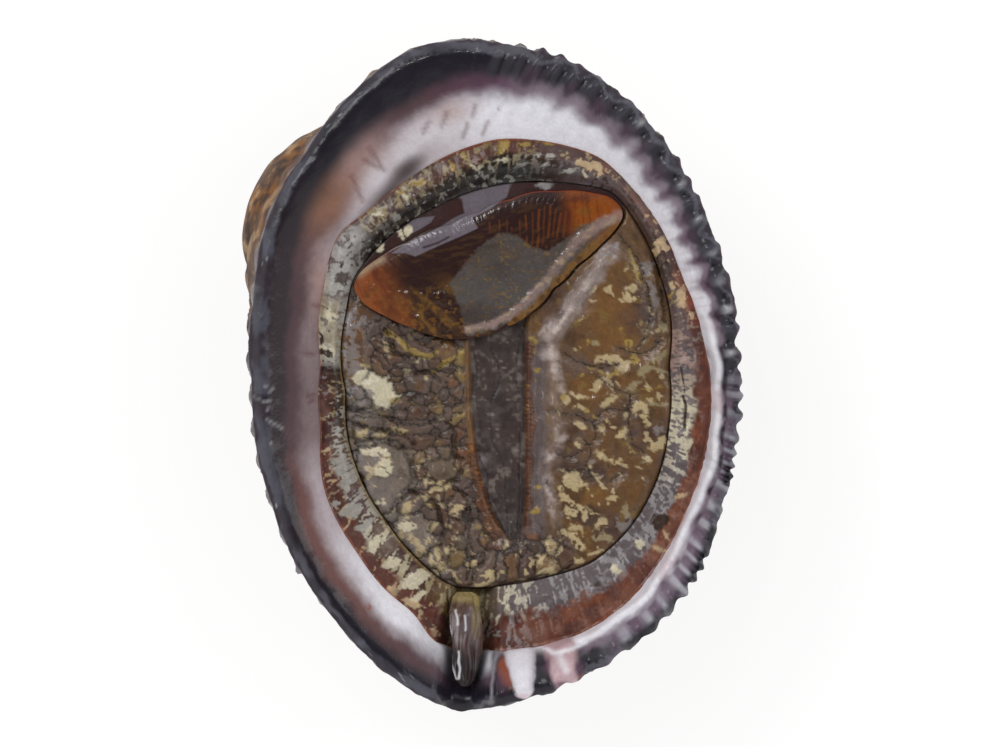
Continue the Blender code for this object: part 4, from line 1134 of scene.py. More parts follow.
def build_mantle():
    """A ring of skin from the lip to the foot, closed underneath along the cavity's wall."""
    bearing = np.radians(np.linspace(-180.0, 180.0, MANTLE_COLUMNS, endpoint=False))
    outer = lip_inner_distance(bearing) + 0.02
    inner = foot_distance(bearing) + 0.015
    rings, tints = [], []
    for share in np.linspace(0.0, 1.0, MANTLE_ROWS):
        ring = bowl_ring(bearing, outer + (inner - outer) * share, 0.0)
        across = np.full(len(ring), share)
        ring[:, 2] = mantle_height(ring[:, 0], ring[:, 1], across, bearing)
        rings.append(ring)
        tints.append(paint_mantle(ring, bearing, across))
    for reach, lift in ((inner, 0.3), (0.5 * (inner + outer), 0.26), (outer * 0.955, 0.22)):
        rings.append(rest_on_cavity(bowl_ring(bearing, reach, 0.0), lift))
        tints.append(plain(len(bearing), TONES["deep red"]))
    points = np.concatenate(rings)
    faces = ring_faces(len(rings), len(bearing), closed=True)
    gloss = 0.55 + 0.25 * noise(points, 0.6, 35)
    material = make_surface(
        "mantle", roughness=0.42, coat=1.0, grain_size=0.07, grain_depth=0.01, scatter=0.12)
    return make_piece("mantle_skin", points, faces, np.concatenate(tints), gloss, material)


# The foot


FOOT_ROWS = 400
FOOT_LEFT_COLUMNS = 96
FOOT_SOLE_COLUMNS = 30
FOOT_RIGHT_COLUMNS = 86
FOOT_UNDER_COLUMNS = 12
KNOB_HEIGHT = 0.2
SMALL_KNOB_ROWS = 24
SMALL_KNOB_STEP = 0.4
# The knobs of the foot: middle, half length, half width, tilt in degrees and tone
KNOBS = [
    (-2.49, 0.32, 0.28, 0.13, 15, "grey brown"), (-2.11, 0.27, 0.1, 0.17, 0, "violet brown"),
    (-1.9, 0.3, 0.11, 0.16, 0, "grey brown"), (-1.67, 0.35, 0.12, 0.13, 0, "brown"),
    (-2.12, -0.22, 0.34, 0.26, -25, "grey brown"), (-1.84, 0.09, 0.15, 0.07, 0, "dark brown"),
    (-1.51, -0.23, 0.26, 0.16, 45, "grey brown"), (-1.27, 0.17, 0.18, 0.09, 0, "dark brown"),
    (-0.88, -0.02, 0.18, 0.2, 0, "yellow"), (-1.12, -0.2, 0.17, 0.16, 0, "orange"),
    (-0.88, 0.54, 0.16, 0.22, 0, "yellow"), (-1.67, 0.91, 0.19, 0.13, 0, "amber"),
    (-1.3, 0.72, 0.3, 0.2, 0, "amber"), (-1.97, 0.91, 0.12, 0.1, 0, "dull yellow"),
    (-3.53, 0.72, 0.2, 0.15, 0, "brown"), (-3.08, 0.35, 0.38, 0.12, -45, "brown"),
    (-2.68, 0.46, 0.28, 0.16, 0, "brown"), (-3.15, -0.45, 0.55, 0.42, -40, "pale cream"),
    (-2.43, 0.08, 0.12, 0.07, 0, "cream"), (-2.74, 0.1, 0.2, 0.1, 0, "brown"),
    (-2.73, -0.12, 0.2, 0.07, 0, "dull yellow"), (-2.64, -0.38, 0.2, 0.15, 0, "amber"),
    (-2.2, -0.55, 0.18, 0.1, 0, "dark brown"), (-2.26, -0.77, 0.18, 0.07, -35, "yellow"),
    (-2.1, -0.67, 0.17, 0.15, 0, "grey brown"), (-1.75, -0.68, 0.16, 0.17, 0, "brown"),
    (-1.57, -0.9, 0.2, 0.18, 0, "yellow"), (-1.35, -0.63, 0.15, 0.19, 0, "violet brown"),
    (-1.02, -0.5, 0.18, 0.2, 0, "grey brown"), (-1.27, -1.06, 0.1, 0.25, 0, "grey brown"),
    (-0.99, -0.9, 0.17, 0.17, 0, "tan"), (-0.87, -1.12, 0.28, 0.18, 35, "yellow"),
    (-0.8, -1.36, 0.18, 0.16, 0, "orange"), (-3.4, -1.05, 0.6, 0.13, -5, "grey brown"),
    (-3.5, -1.32, 0.48, 0.13, -12, "violet brown"), (-3.7, -1.6, 0.24, 0.15, 0, "dull cream"),
    (-3.1, -1.63, 0.33, 0.11, 20, "dull yellow"), (-2.61, -1.17, 0.26, 0.14, 45, "violet brown"),
    (-2.13, -1.05, 0.27, 0.18, 0, "brown"), (-2.17, -1.42, 0.5, 0.18, 0, "grey brown"),
    (-1.5, -1.27, 0.2, 0.12, 0, "dull cream"), (-1.6, -1.55, 0.15, 0.1, 0, "dark brown"),
    (-0.89, -1.7, 0.2, 0.18, 0, "orange"), (-1.28, -1.62, 0.18, 0.17, 20, "grey brown"),
    (-2.98, -2.85, 0.98, 0.62, -72, "bulge"), (-2.05, -2.32, 0.2, 0.12, 35, "tan"),
    (-1.72, -2.2, 0.2, 0.15, 0, "grey brown"), (-1.33, -2.12, 0.18, 0.2, 0, "olive"),
    (-1.39, -2.72, 0.42, 0.36, 0, "olive"), (-2.03, -2.76, 0.14, 0.22, 0, "brown"),
    (-1.75, -3.3, 0.4, 0.2, 0, "brown"), (-0.85, -2.15, 0.17, 0.15, 0, "orange"),
    (-0.72, -2.7, 0.2, 0.16, 0, "tan"), (-2.37, -3.57, 0.38, 0.28, 50, "grey brown"),
    (-1.76, -3.7, 0.13, 0.19, 0, "yellow"), (-1.4, -3.9, 0.17, 0.38, 0, "brown"),
    (-1.0, -3.6, 0.35, 0.35, 0, "grey brown"), (-0.93, -3.1, 0.28, 0.18, 0, "violet brown"),
    (-2.15, -4.45, 0.58, 0.44, -50, "bulge"), (-1.62, -5.15, 0.42, 0.3, 30, "grey brown"),
    (-1.05, -4.2, 0.2, 0.2, 0, "brown"), (-0.55, -4.6, 0.52, 0.2, 82, "grey brown"),
    (-1.25, -4.6, 0.08, 0.3, 10, "brown"), (-0.9, -4.72, 0.14, 0.2, 0, "olive"),
    (-0.95, -5.62, 0.48, 0.22, 0, "grey brown"), (-1.05, -5.1, 0.22, 0.28, -50, "dull yellow"),
    (-1.62, -4.25, 0.24, 0.16, 25, "grey brown"), (-2.55, -1.85, 0.35, 0.18, 10, "grey brown"),
    (-1.95, -1.85, 0.26, 0.18, -10, "brown"), (-1.42, -1.88, 0.22, 0.12, 0, "brown"),
    (-3.55, -1.92, 0.3, 0.12, -10, "grey brown"), (-0.95, -2.5, 0.14, 0.16, 0, "amber"),
    (0.05, -4.75, 0.24, 0.17, -20, "red brown"), (0.22, -5.32, 0.16, 0.42, 5, "grey brown"),
    (0.48, -5.3, 0.2, 0.4, 0, "amber"), (-0.22, -5.48, 0.62, 0.24, 58, "grey brown"),
    (0.98, -5.3, 0.2, 0.34, -5, "deep red"), (1.42, -5.3, 0.28, 0.34, 25, "tan"),
    (1.6, -4.76, 0.2, 0.26, 0, "tan"), (2.05, -5.05, 0.36, 0.22, -50, "brown"),
    (1.08, -4.4, 0.26, 0.14, 0, "orange"), (0.45, -4.88, 0.24, 0.12, 30, "violet brown"),
    (1.2, -4.82, 0.28, 0.13, -20, "dark brown"), (0.8, -4.88, 0.1, 0.16, 0, "deep red")]
# The deeper creases of the left lobe, and the ragged cream patches that run over its knobs
LOBE_CREASES = [
    [(-3.0, 1.24), (-2.8, 0.65), (-2.41, 0.46), (-2.17, 0.07), (-1.73, 0.07), (-1.44, -0.23)],
    [(-3.87, -0.96), (-3.29, -1.1), (-2.61, -1.3), (-2.02, -1.4), (-1.44, -1.2)],
    [(-3.87, -1.35), (-3.19, -1.49), (-2.51, -1.69), (-2.22, -1.88)],
    [(-3.87, -1.88), (-3.29, -1.83), (-2.66, -1.88)],
    [(-2.66, -1.88), (-2.31, -2.37), (-2.24, -2.86), (-2.41, -3.15), (-2.7, -3.54), (-3.05, -3.93)],
    [(-2.41, -3.15), (-1.92, -3.35), (-1.53, -3.73), (-1.44, -4.32), (-1.53, -4.81), (-1.34, -5.3)],
    [(-1.05, -3.15), (-0.75, -3.54), (-0.66, -4.03), (-0.71, -4.51), (-0.61, -5.1), (-0.75, -5.69)],
    [(-1.05, -1.69), (-1.14, -2.18), (-0.9, -2.37), (-1.0, -2.86), (-1.34, -3.05)]]
LOBE_PATCHES = [
    (-3.33, -2.11, 0.44, 0.17, -5), (-3.05, -2.58, 0.26, 0.17, 50), (-3.2, -3.55, 0.12, 0.14, 0),
    (-2.45, -4.2, 0.2, 0.2, 30), (-2.38, -3.72, 0.28, 0.13, 45), (-1.98, -3.4, 0.2, 0.09, 20),
    (-1.7, -4.2, 0.2, 0.1, 25), (-1.6, -5.05, 0.15, 0.34, -20), (-1.45, -5.35, 0.24, 0.12, 20),
    (-1.15, -4.75, 0.12, 0.22, -30), (-1.55, -3.1, 0.38, 0.11, 5), (-1.95, -2.9, 0.1, 0.2, 20),
    (-2.05, -4.95, 0.16, 0.2, 40), (-2.25, -4.62, 0.1, 0.2, 30), (-1.0, -3.74, 0.26, 0.08, 38),
    (-0.62, -5.3, 0.18, 0.11, 25), (-0.3, -5.7, 0.3, 0.16, 30), (-2.6, -1.5, 0.22, 0.07, -20)]
FOOT_SPOTS = {
    "grey brown": [(2.2, 0.2, 0.4, 0.3, 0), (3.2, 3.45, 0.25, 0.12, 10), (4.4, 1.6, 0.22, 0.45, 10)],
    "lobe violet": [
        (4.1, 1.9, 0.3, 0.55, 5), (3.75, 1.4, 0.35, 0.3, 0), (4.1, -1.7, 0.45, 0.35, 0),
        (3.2, -1.3, 0.5, 0.3, 0), (3.1, -2.65, 0.55, 0.25, 5), (2.05, -2.1, 0.35, 0.2, 0),
        (2.1, -2.5, 0.4, 0.18, 0), (2.6, -3.95, 0.5, 0.22, -20), (3.55, -4.3, 0.5, 0.3, 20)],
    "amber": [
        (3.1, 2.0, 0.6, 0.55, 20), (3.2, 1.35, 0.5, 0.3, 0), (3.3, 0.9, 0.7, 0.22, 0),
        (2.75, -0.35, 0.55, 0.3, 0), (2.35, -1.75, 0.22, 0.32, 0), (3.6, -0.2, 0.4, 0.18, 10),
        (2.65, -3.35, 0.6, 0.28, 0), (3.2, -4.8, 0.7, 0.25, 20), (2.2, -4.2, 0.5, 0.2, -30)],
    # The spots on the big swelling at the lower left are painted highlights.
    "soft grey": [
        (4.32, 2.75, 0.42, 0.12, -78), (4.47, 2.22, 0.32, 0.08, -80), (4.33, 3.1, 0.14, 0.1, 0),
        (4.65, -1.45, 0.16, 0.22, 0), (-3.95, 1.35, 0.6, 0.18, 80), (-3.9, 0.4, 0.5, 0.22, 95),
        (-3.75, 1.6, 0.3, 0.16, -30), (3.62, -4.1, 0.2, 0.2, 0), (-3.55, -3.15, 0.55, 0.12, -75),
        (-3.72, -2.45, 0.45, 0.12, -80), (-2.2, -4.78, 0.2, 0.2, 0)],
    # The milky spots are painted highlights.
    "milky": [
        (-4.1, 0.55, 0.5, 0.05, 85), (-4.05, 1.5, 0.35, 0.05, 80), (-3.98, -0.35, 0.1, 0.22, 20),
        (-3.85, -0.99, 0.16, 0.06, 10), (-2.45, -4.22, 0.18, 0.2, 0), (-3.18, -3.58, 0.13, 0.14, 0),
        (-2.05, -4.86, 0.1, 0.08, 30), (3.08, 3.42, 0.08, 0.06, 0), (3.34, 3.56, 0.16, 0.08, 30)],
    "dull cream": [
        (4.7, 1.35, 0.12, 0.18, 0), (4.6, -0.8, 0.3, 0.06, -5), (4.62, 0.42, 0.3, 0.11, 52),
        (4.7, 0.05, 0.26, 0.07, -20), (3.85, -0.32, 0.26, 0.07, 32), (4.25, 0.12, 0.22, 0.11, 5),
        (4.18, -0.05, 0.05, 0.1, 0), (-1.58, -3.1, 0.33, 0.11, 0), (-1.0, -3.74, 0.3, 0.08, 38),
        (3.05, -4.52, 0.28, 0.11, -12), (2.9, -4.3, 0.14, 0.03, -20), (3.65, -3.78, 0.09, 0.16, 0),
        (4.05, 1.38, 0.1, 0.05, 60), (4.25, 1.28, 0.04, 0.12, -10), (2.85, 0.9, 0.1, 0.08, 0)],
    "cream": [
        (3.76, 2.16, 0.2, 0.13, 20), (3.72, 2.38, 0.06, 0.08, 0), (2.76, 2.45, 0.12, 0.05, 50),
        (3.18, 2.38, 0.13, 0.05, 48), (3.7, 2.95, 0.12, 0.04, 62), (2.74, 2.1, 0.06, 0.05, 0),
        (3.25, 0.42, 0.42, 0.13, -6), (3.62, 0.22, 0.22, 0.12, 50), (2.88, 0.4, 0.12, 0.08, 50),
        (4.1, -0.98, 0.26, 0.24, 0), (4.25, -1.32, 0.09, 0.16, 0), (4.6, -1.93, 0.28, 0.15, 30),
        (2.35, -0.6, 0.3, 0.06, -16), (2.03, -0.75, 0.09, 0.14, 0), (2.36, -0.95, 0.14, 0.05, -28),
        (3.2, -0.74, 0.28, 0.1, 44), (3.03, -1.5, 0.15, 0.05, -36), (3.3, -1.45, 0.07, 0.05, 0),
        (3.64, -1.62, 0.14, 0.11, 0), (3.7, -1.2, 0.06, 0.1, -20), (3.12, -1.3, 0.08, 0.03, -30),
        (2.38, -1.42, 0.16, 0.09, -35), (2.4, -1.97, 0.09, 0.06, 0), (1.8, -1.14, 0.07, 0.06, 0),
        (3.05, -2.2, 0.24, 0.1, -32), (3.42, -2.38, 0.18, 0.08, -28), (3.72, -2.52, 0.22, 0.06, -6),
        (4.26, -2.36, 0.06, 0.17, 12), (4.12, -2.56, 0.12, 0.03, 0), (2.7, -2.5, 0.05, 0.12, 10),
        (3.5, -2.8, 0.06, 0.05, 0), (1.98, -2.68, 0.18, 0.04, -16), (2.2, -2.92, 0.22, 0.22, 0),
        (2.42, -3.1, 0.18, 0.11, 0), (2.6, -3.16, 0.07, 0.04, 0), (1.84, -3.13, 0.15, 0.07, -10),
        (1.92, -3.38, 0.2, 0.1, -35), (2.08, -3.52, 0.16, 0.09, 0), (3.36, -3.4, 0.18, 0.1, 0),
        (3.36, -3.2, 0.04, 0.14, 0), (2.14, -3.8, 0.12, 0.18, 20), (2.42, -3.72, 0.2, 0.1, -50),
        (2.52, -3.92, 0.12, 0.14, -30), (2.78, -3.8, 0.22, 0.02, -30), (3.03, -4.15, 0.16, 0.13, 0),
        (2.3, -4.3, 0.22, 0.09, -8), (2.44, -4.38, 0.08, 0.14, 30), (1.94, -4.44, 0.12, 0.09, 30),
        (2.28, -4.62, 0.3, 0.11, -45), (2.8, -4.95, 0.15, 0.07, 15), (2.98, -4.84, 0.12, 0.05, 0),
        (2.38, -5.14, 0.14, 0.1, -45), (1.6, -4.7, 0.13, 0.16, 0), (1.46, -5.42, 0.26, 0.13, 8),
        (1.3, -5.12, 0.12, 0.16, -30), (0.85, -5.5, 0.07, 0.09, 0), (-0.26, -5.74, 0.3, 0.14, 35),
        (0.1, -5.65, 0.05, 0.09, 0), (0.65, -5.0, 0.05, 0.05, 0), (-2.09, 0.38, 0.05, 0.08, 0),
        (-1.82, -0.1, 0.09, 0.05, 0), (-2.97, 0.78, 0.3, 0.11, -35), (-3.6, 0.25, 0.14, 0.05, -10),
        (-3.62, -1.62, 0.22, 0.14, 0), (-3.08, -1.64, 0.26, 0.08, 20)],
    "yellow": [
        (3.84, 3.3, 0.24, 0.06, -58), (4.0, 2.85, 0.24, 0.07, -72), (3.25, 3.24, 0.07, 0.06, 0),
        (3.76, 0.84, 0.13, 0.12, 0), (2.66, 0.94, 0.06, 0.08, 0), (3.92, 0.44, 0.12, 0.22, 0),
        (3.28, 0.0, 0.24, 0.04, 5), (2.88, 0.12, 0.2, 0.03, -28), (3.52, 0.05, 0.12, 0.04, 20),
        (4.28, -0.37, 0.22, 0.02, 12), (4.62, -0.3, 0.1, 0.02, 10), (2.55, -1.02, 0.12, 0.08, -20),
        (2.8, -1.2, 0.09, 0.05, 0), (1.95, -0.66, 0.06, 0.12, 0), (3.78, -1.96, 0.04, 0.09, 0),
        (3.9, -2.15, 0.09, 0.05, -20), (2.62, 0.2, 0.14, 0.04, -35), (2.35, 0.03, 0.08, 0.05, 30),
        (1.06, 0.92, 0.14, 0.12, 0), (1.1, 0.65, 0.08, 0.06, 0), (1.18, 0.16, 0.08, 0.07, 0),
        (1.14, -0.1, 0.07, 0.05, 0), (1.22, -3.12, 0.09, 0.06, 0), (1.15, -3.8, 0.08, 0.1, 0),
        (-0.42, -4.42, 0.05, 0.22, 10), (-2.72, -0.65, 0.16, 0.05, 50), (2.02, 3.7, 0.1, 0.05, 60),
        (2.4, 1.48, 0.2, 0.03, 28), (3.62, 1.22, 0.14, 0.04, -40), (-0.6, -2.4, 0.05, 0.16, 0)],
    # Painted highlights along the right lobe's ridge.
    "ridge highlight": [
        (2.1, 1.82, 0.22, 0.09, 42), (1.56, 1.22, 0.2, 0.07, 60), (1.62, 0.55, 0.26, 0.16, 0),
        (1.86, -0.36, 0.09, 0.14, 10), (1.92, -1.76, 0.14, 0.1, 20), (1.6, -2.28, 0.16, 0.08, 40),
        (1.7, 0.2, 0.14, 0.14, 0), (2.62, 2.55, 0.2, 0.07, 48), (1.5, -3.2, 0.06, 0.14, -10),
        (1.62, -3.42, 0.12, 0.06, -50), (0.24, -4.64, 0.12, 0.09, 30), (3.02, -5.92, 0.05, 0.05, 0)]}
YELLOW_CORDS = [
    ([(-1.72, 0.09), (-1.59, 0.11), (-1.41, 0.3), (-1.22, 0.4), (-0.98, 0.51), (-0.9, 0.72)], 0.05),
    (
        [
            (-3.0, 1.2), (-2.78, 1.12), (-2.57, 0.91), (-2.36, 0.67), (-2.12, 0.59), (-1.86, 0.54),
            (-1.64, 0.59)],
        0.09)]
CREAM_PATCH = [
    (-3.58, 0.17), (-3.29, 0.01), (-2.97, -0.07), (-2.76, -0.36), (-2.57, -0.6), (-2.7, -0.76),
    (-2.92, -0.97), (-3.34, -0.84), (-3.37, -0.65), (-3.53, -0.52), (-3.66, -0.31), (-4.0, -0.15)]
RIGHT_RIDGE = [
    (3.2, 3.4), (2.75, 2.75), (2.5, 2.4), (2.15, 1.85), (1.85, 1.45), (1.58, 1.0), (1.65, 0.5),
    (1.72, -0.3), (1.7, -0.8), (1.78, -1.4), (1.78, -1.9), (1.58, -2.3), (1.46, -2.7), (1.5, -3.2),
    (1.62, -3.6), (1.72, -4.2)]
RIGHT_FURROWS = [
    [(2.0, 0.62), (2.3, 0.42), (2.7, 0.27), (3.1, 0.22), (3.5, 0.28)],
    [(2.95, -0.05), (3.15, -0.2), (3.3, -0.38), (3.6, -0.45), (3.9, -0.6)],
    [(1.6, -1.0), (2.1, -1.1), (2.45, -1.2), (2.75, -1.35), (2.9, -1.2), (3.1, -1.0), (3.7, -0.95)],
    [(2.75, -1.35), (2.9, -1.6), (2.75, -1.85), (2.65, -1.95), (2.5, -1.75)],
    [(2.65, -1.95), (2.75, -2.2), (2.65, -2.4), (2.5, -2.65), (2.4, -2.8)],
    [(1.75, -2.15), (2.0, -2.3), (2.3, -2.28), (2.5, -2.1)],
    [(3.75, -1.0), (3.8, -1.4), (3.85, -1.7), (3.9, -1.95), (4.2, -2.2)],
    [(2.4, -2.85), (2.7, -2.87), (3.0, -2.75)],
    [(2.62, -2.5), (2.68, -2.87)],
    [(3.2, -2.95), (3.6, -2.75)],
    [(1.9, -2.62), (2.3, -2.68), (2.5, -2.65)],
    [(3.8, -0.55), (3.72, -0.95)],
    [(3.5, 0.75), (4.1, 0.55), (4.45, 0.7), (4.65, 1.05)],
    [(3.5, 3.9), (3.9, 3.45), (4.15, 2.9), (4.3, 2.3), (4.4, 1.8), (4.28, 1.4), (4.18, 1.0), (4.05, 0.75)],
    [(4.6, 3.3), (4.62, 2.6), (4.75, 2.0), (4.8, 1.5)],
    [(1.85, -4.25), (1.92, -4.6), (1.8, -4.9)],
    [(1.36, -4.25), (1.42, -4.9), (1.85, -5.2)],
    [(1.75, 1.62), (1.95, 1.75)],
    [(1.5, -2.9), (1.52, -3.05)]]


def sole_edge(edge, y):
    """The X of one side of the sole's groove at Y."""
    ascending = edge[::-1]
    return np.interp(y, [point[1] for point in ascending], [point[0] for point in ascending])


def sole_share(x, y):
    """1 in the groove of the sole and 0 outside it."""
    left = smooth_step(-SOLE_EDGE_WIDTH, SOLE_EDGE_WIDTH, x - sole_edge(SOLE_LEFT, y))
    right = smooth_step(-SOLE_EDGE_WIDTH, SOLE_EDGE_WIDTH, sole_edge(SOLE_RIGHT, y) - x)
    return left * right * smooth_step(-4.9, -4.1, y)


def operculum_under(y):
    """The height of the operculum's underside, which is lower towards the spire's end."""
    return OPERCULUM_LEVEL - OPERCULUM_SLOPE * (y - OPERCULUM_CENTRE[1]) - OPERCULUM_THICKNESS / 2


def beyond_operculum(x, y):
    """How far outside the operculum's outline a point in plan lies: below 0 inside it."""
    dx = x - OPERCULUM_CENTRE[0]
    dy = y - OPERCULUM_CENTRE[1]
    return np.hypot(dx, dy) - operculum_distance(np.arctan2(dy, dx))


def sole_grooves(x, y, level):
    """0 along the grooves of the sole, and 1 midway between them."""
    left = sole_edge(SOLE_LEFT, y)
    across = (x - left) / (sole_edge(SOLE_RIGHT, y) - left)
    return np.abs(np.sin(math.pi * (2.2 * across + 0.4 * noise(level, 0.9, 109))))


def small_knobs():
    """Small knobs on a shaken grid, which fill the room that the named knobs leave."""
    numbers = np.arange(SMALL_KNOB_ROWS ** 2)
    row, column = numbers // SMALL_KNOB_ROWS, numbers % SMALL_KNOB_ROWS
    cells = np.stack([column, row, 0 * row], axis=-1)
    x = -4.3 + SMALL_KNOB_STEP * (column + 0.9 * lattice(cells, 61))
    y = -6.1 + SMALL_KNOB_STEP * (row + 0.9 * lattice(cells, 62))
    tones = ["grey brown", "brown", "violet brown", "amber", "grey brown", "dark brown"]
    free = np.ones(len(numbers), dtype=bool)
    for knob in KNOBS:
        free &= ellipse_reach(x, y, knob) > 1.2
    kept = []
    for number in np.nonzero(free)[0]:
        pick = int(997 * lattice(cells[number] + 5, 63)) % len(tones)
        length = 0.24 + 0.16 * float(lattice(cells[number] + 9, 64))
        kept.append((float(x[number]), float(y[number]), length, 0.17, 57 * number % 180, tones[pick]))
    return kept


def knob_field(x, y, knobs):
    """For each point: the nearest knob's number, how far out in it, the way to the next, and its width."""
    first = np.full(x.shape, 9.0)
    second = np.full(x.shape, 9.0)
    nearest = np.zeros(x.shape, dtype=int)
    for number, knob in enumerate(knobs):
        reach = ellipse_reach(x, y, knob)
        closer = reach < first
        second = np.where(closer, first, np.minimum(second, reach))
        first = np.where(closer, reach, first)
        nearest = np.where(closer, number, nearest)
    widths = np.array([min(knob[2], knob[3]) for knob in knobs])[nearest]
    return nearest, first, 0.5 * (second - first) * widths, widths


def nearest_line(x, y, lines):
    """The way to the nearest of several bent lines."""
    way = np.full(x.shape, 9.0)
    for line in lines:
        way = np.minimum(way, line_distance(x, y, line)[0])
    return way


def knob_share(x, y):
    """Where the foot is knobbly: its left lobe and its lower end."""
    left = smooth_step(0.02, -0.06, x - sole_edge(SOLE_LEFT, y) + 0.18)
    low = smooth_step(-4.3, -4.55, y + 0.25 * np.maximum(x - 1.3, 0.0)) * smooth_step(2.35, 2.1, x)
    return np.maximum(left * (y > -4.6), low) * (1.0 - left_margin(x, y))


def left_margin(x, y):
    """1 on the smooth grey margin at the left of the knobbly lobe."""
    return blotches(x, y, [(-4.0, 0.9, 1.3, 0.42, 97), (-3.6, 1.75, 0.5, 0.3, 30)], 0.12)


def fringe_share(x, y):
    """1 on the pleated fringes along both sides of the sole."""
    left = x - sole_edge(SOLE_LEFT, y)
    right = x - sole_edge(SOLE_RIGHT, y)
    uneven = noise(flat(0.0 * x, y), 0.3, 106)
    wide = 0.26 + 0.1 * smooth_step(-3.0, -4.2, y) + 0.07 * uneven
    on_left = smooth_step(-wide - 0.05, -wide, left) * smooth_step(0.1, 0.02, left)
    on_left = on_left * smooth_step(-1.7, -2.0, y)
    bulge = 0.17 + 0.14 * near(y + 1.35, 0.3) + 0.06 * uneven
    on_right = smooth_step(-0.08, -0.02, right) * smooth_step(bulge + 0.05, bulge - 0.03, right)
    on_right = on_right * smooth_step(-4.4, -4.1, y) * smooth_step(1.1, 0.8, y)
    return on_left * smooth_step(-4.7, -4.4, y), on_right


def pleats(x, y):
    """Uneven pleats across the fringes, from -1 to 1."""
    level = flat(x, y)
    phase = y / 0.13 + 1.3 * noise(level, 0.42, 108) + 0.5 * noise(level, 0.15, 127)
    return np.sin(2 * math.pi * phase) * (0.55 + 0.45 * noise(level, 0.3, 128))


def knob_domes(x, y, knobs):
    """The height of the knobs, with the furrows between them."""
    _, out, gap, widths = knob_field(x, y, knobs)
    rise = np.minimum(0.42 * widths + 0.02, KNOB_HEIGHT)
    rounded = np.clip(1.0 - 0.45 * np.minimum(out, 1.4) ** 2, 0.0, 1.0)
    return rise * rounded * (1.0 - np.exp(-(gap / 0.035) ** 1.2))


def raise_smooth_lobe(z, x, y, level, smooth, warped_x, warped_y):
    """Add the right lobe's furrows, waves and ridge to the height z."""
    furrow = np.zeros(x.shape)
    for line in RIGHT_FURROWS:
        way, _ = line_distance(warped_x, warped_y, line)
        furrow = np.maximum(furrow, 0.35 * near(way, 0.025) + 0.65 * near(way, 0.16))
    waves = 0.1 - 0.11 * furrow + 0.03 * noise(level, 0.5, 103) + 0.012 * noise(level, 0.18, 105)
    z = z + smooth * waves
    ridge_gap, _ = line_distance(x, y, RIGHT_RIDGE)
    z = z + smooth * (0.15 + 0.05 * noise(level, 0.5, 129)) * near(ridge_gap, 0.17)
    return z + smooth * 0.05 * noise(level, 0.2, 107) * near(ridge_gap, 0.28)


def foot_height(x, y, knobs):
    """The foot's upper face: a knobbly and a smooth lobe, the sole's groove, and a bed for the operculum."""
    level = flat(x, y)
    edge = np.hypot(*plan_share(x, y, foot_distance))
    z = FOOT_LEVEL - 0.07 - 0.05 * edge ** 14 - 0.05 * edge ** 60
    z = z + 0.05 * noise(level, 1.1, 101) + 0.02 * noise(level, 0.35, 102)
    knobbly = knob_share(x, y)
    smooth = 1.0 - knobbly
    warped_x, warped_y = ragged(x, y, 0.045, 104)
    crease = nearest_line(warped_x, warped_y, LOBE_CREASES)
    z = z + knobbly * (knob_domes(warped_x, warped_y, knobs) - 0.09 * near(crease, 0.06))
    z = raise_smooth_lobe(z, x, y, level, smooth, warped_x, warped_y)
    z = z + np.maximum(*fringe_share(x, y)) * (0.04 + 0.03 * pleats(x, y))
    side = x - sole_edge(SOLE_RIGHT, y)
    z = z - 0.06 * smooth * smooth_step(0.15, 0.3, side) * smooth_step(0.65, 0.45, side) * (y < 0.9)
    grooves = 0.06 * (1.0 - sole_grooves(x, y, level)) ** 6
    z = z - sole_share(x, y) * (SOLE_DEPTH * 0.3 + grooves - 0.02 * noise(level, 0.3, 110))
    beyond = beyond_operculum(x, y)
    under = operculum_under(y)
    bed = under - SOFT_GAP * smooth_step(0.1, -0.1, beyond) + 2.2 * np.maximum(beyond - 0.06, 0.0)
    above = above_operculum(x, y, beyond)
    strip = under + 0.1 + 0.01 * noise(level, 0.6, 131)
    return np.minimum(z, bed) * (1.0 - above) + strip * above


def above_operculum(x, y, beyond):
    """1 on the strip of dark flesh between the operculum's upper edge and the mantle."""
    past_plate = smooth_step(-0.25, 0.15, (y - OPERCULUM_CENTRE[1]) - 0.3 * x - 0.55)
    return past_plate * smooth_step(-0.07, -0.02, beyond)


def paint_foot(points, knobs):
    """The two lobes, then the patches, creases and sole on them, the flesh round the operculum, and painted
    shade along the foot's edge.
    """
    x, y = points[:, 0], points[:, 1]
    level = flat(x, y)
    knobbly = knob_share(x, y)
    tint = plain(len(points), TONES["lobe brown"])
    paint_smooth_lobe(tint, x, y, level)
    tint += (knob_tint(x, y, level, knobs) - tint) * knobbly[:, None]
    ragged_x, ragged_y = ragged(x, y, 0.055, 111)
    paint_patches(tint, x, y, level, ragged_x, ragged_y)
    paint_creases(tint, x, y, level, knobs, knobbly)
    paint_sole(tint, x, y, level)
    paint_by_operculum(tint, x, y, ragged_x, ragged_y)
    edge = np.hypot(*plan_share(x, y, foot_distance))
    # Painted shade along the foot's edge, where it meets the mantle.
    lay(tint, "furrow", 0.65 * smooth_step(0.99, 0.999, edge))
    tint *= (1.0 + 0.09 * noise(level, 0.13, 116) + 0.07 * noise(level, 0.06, 117))[:, None]
    return tint


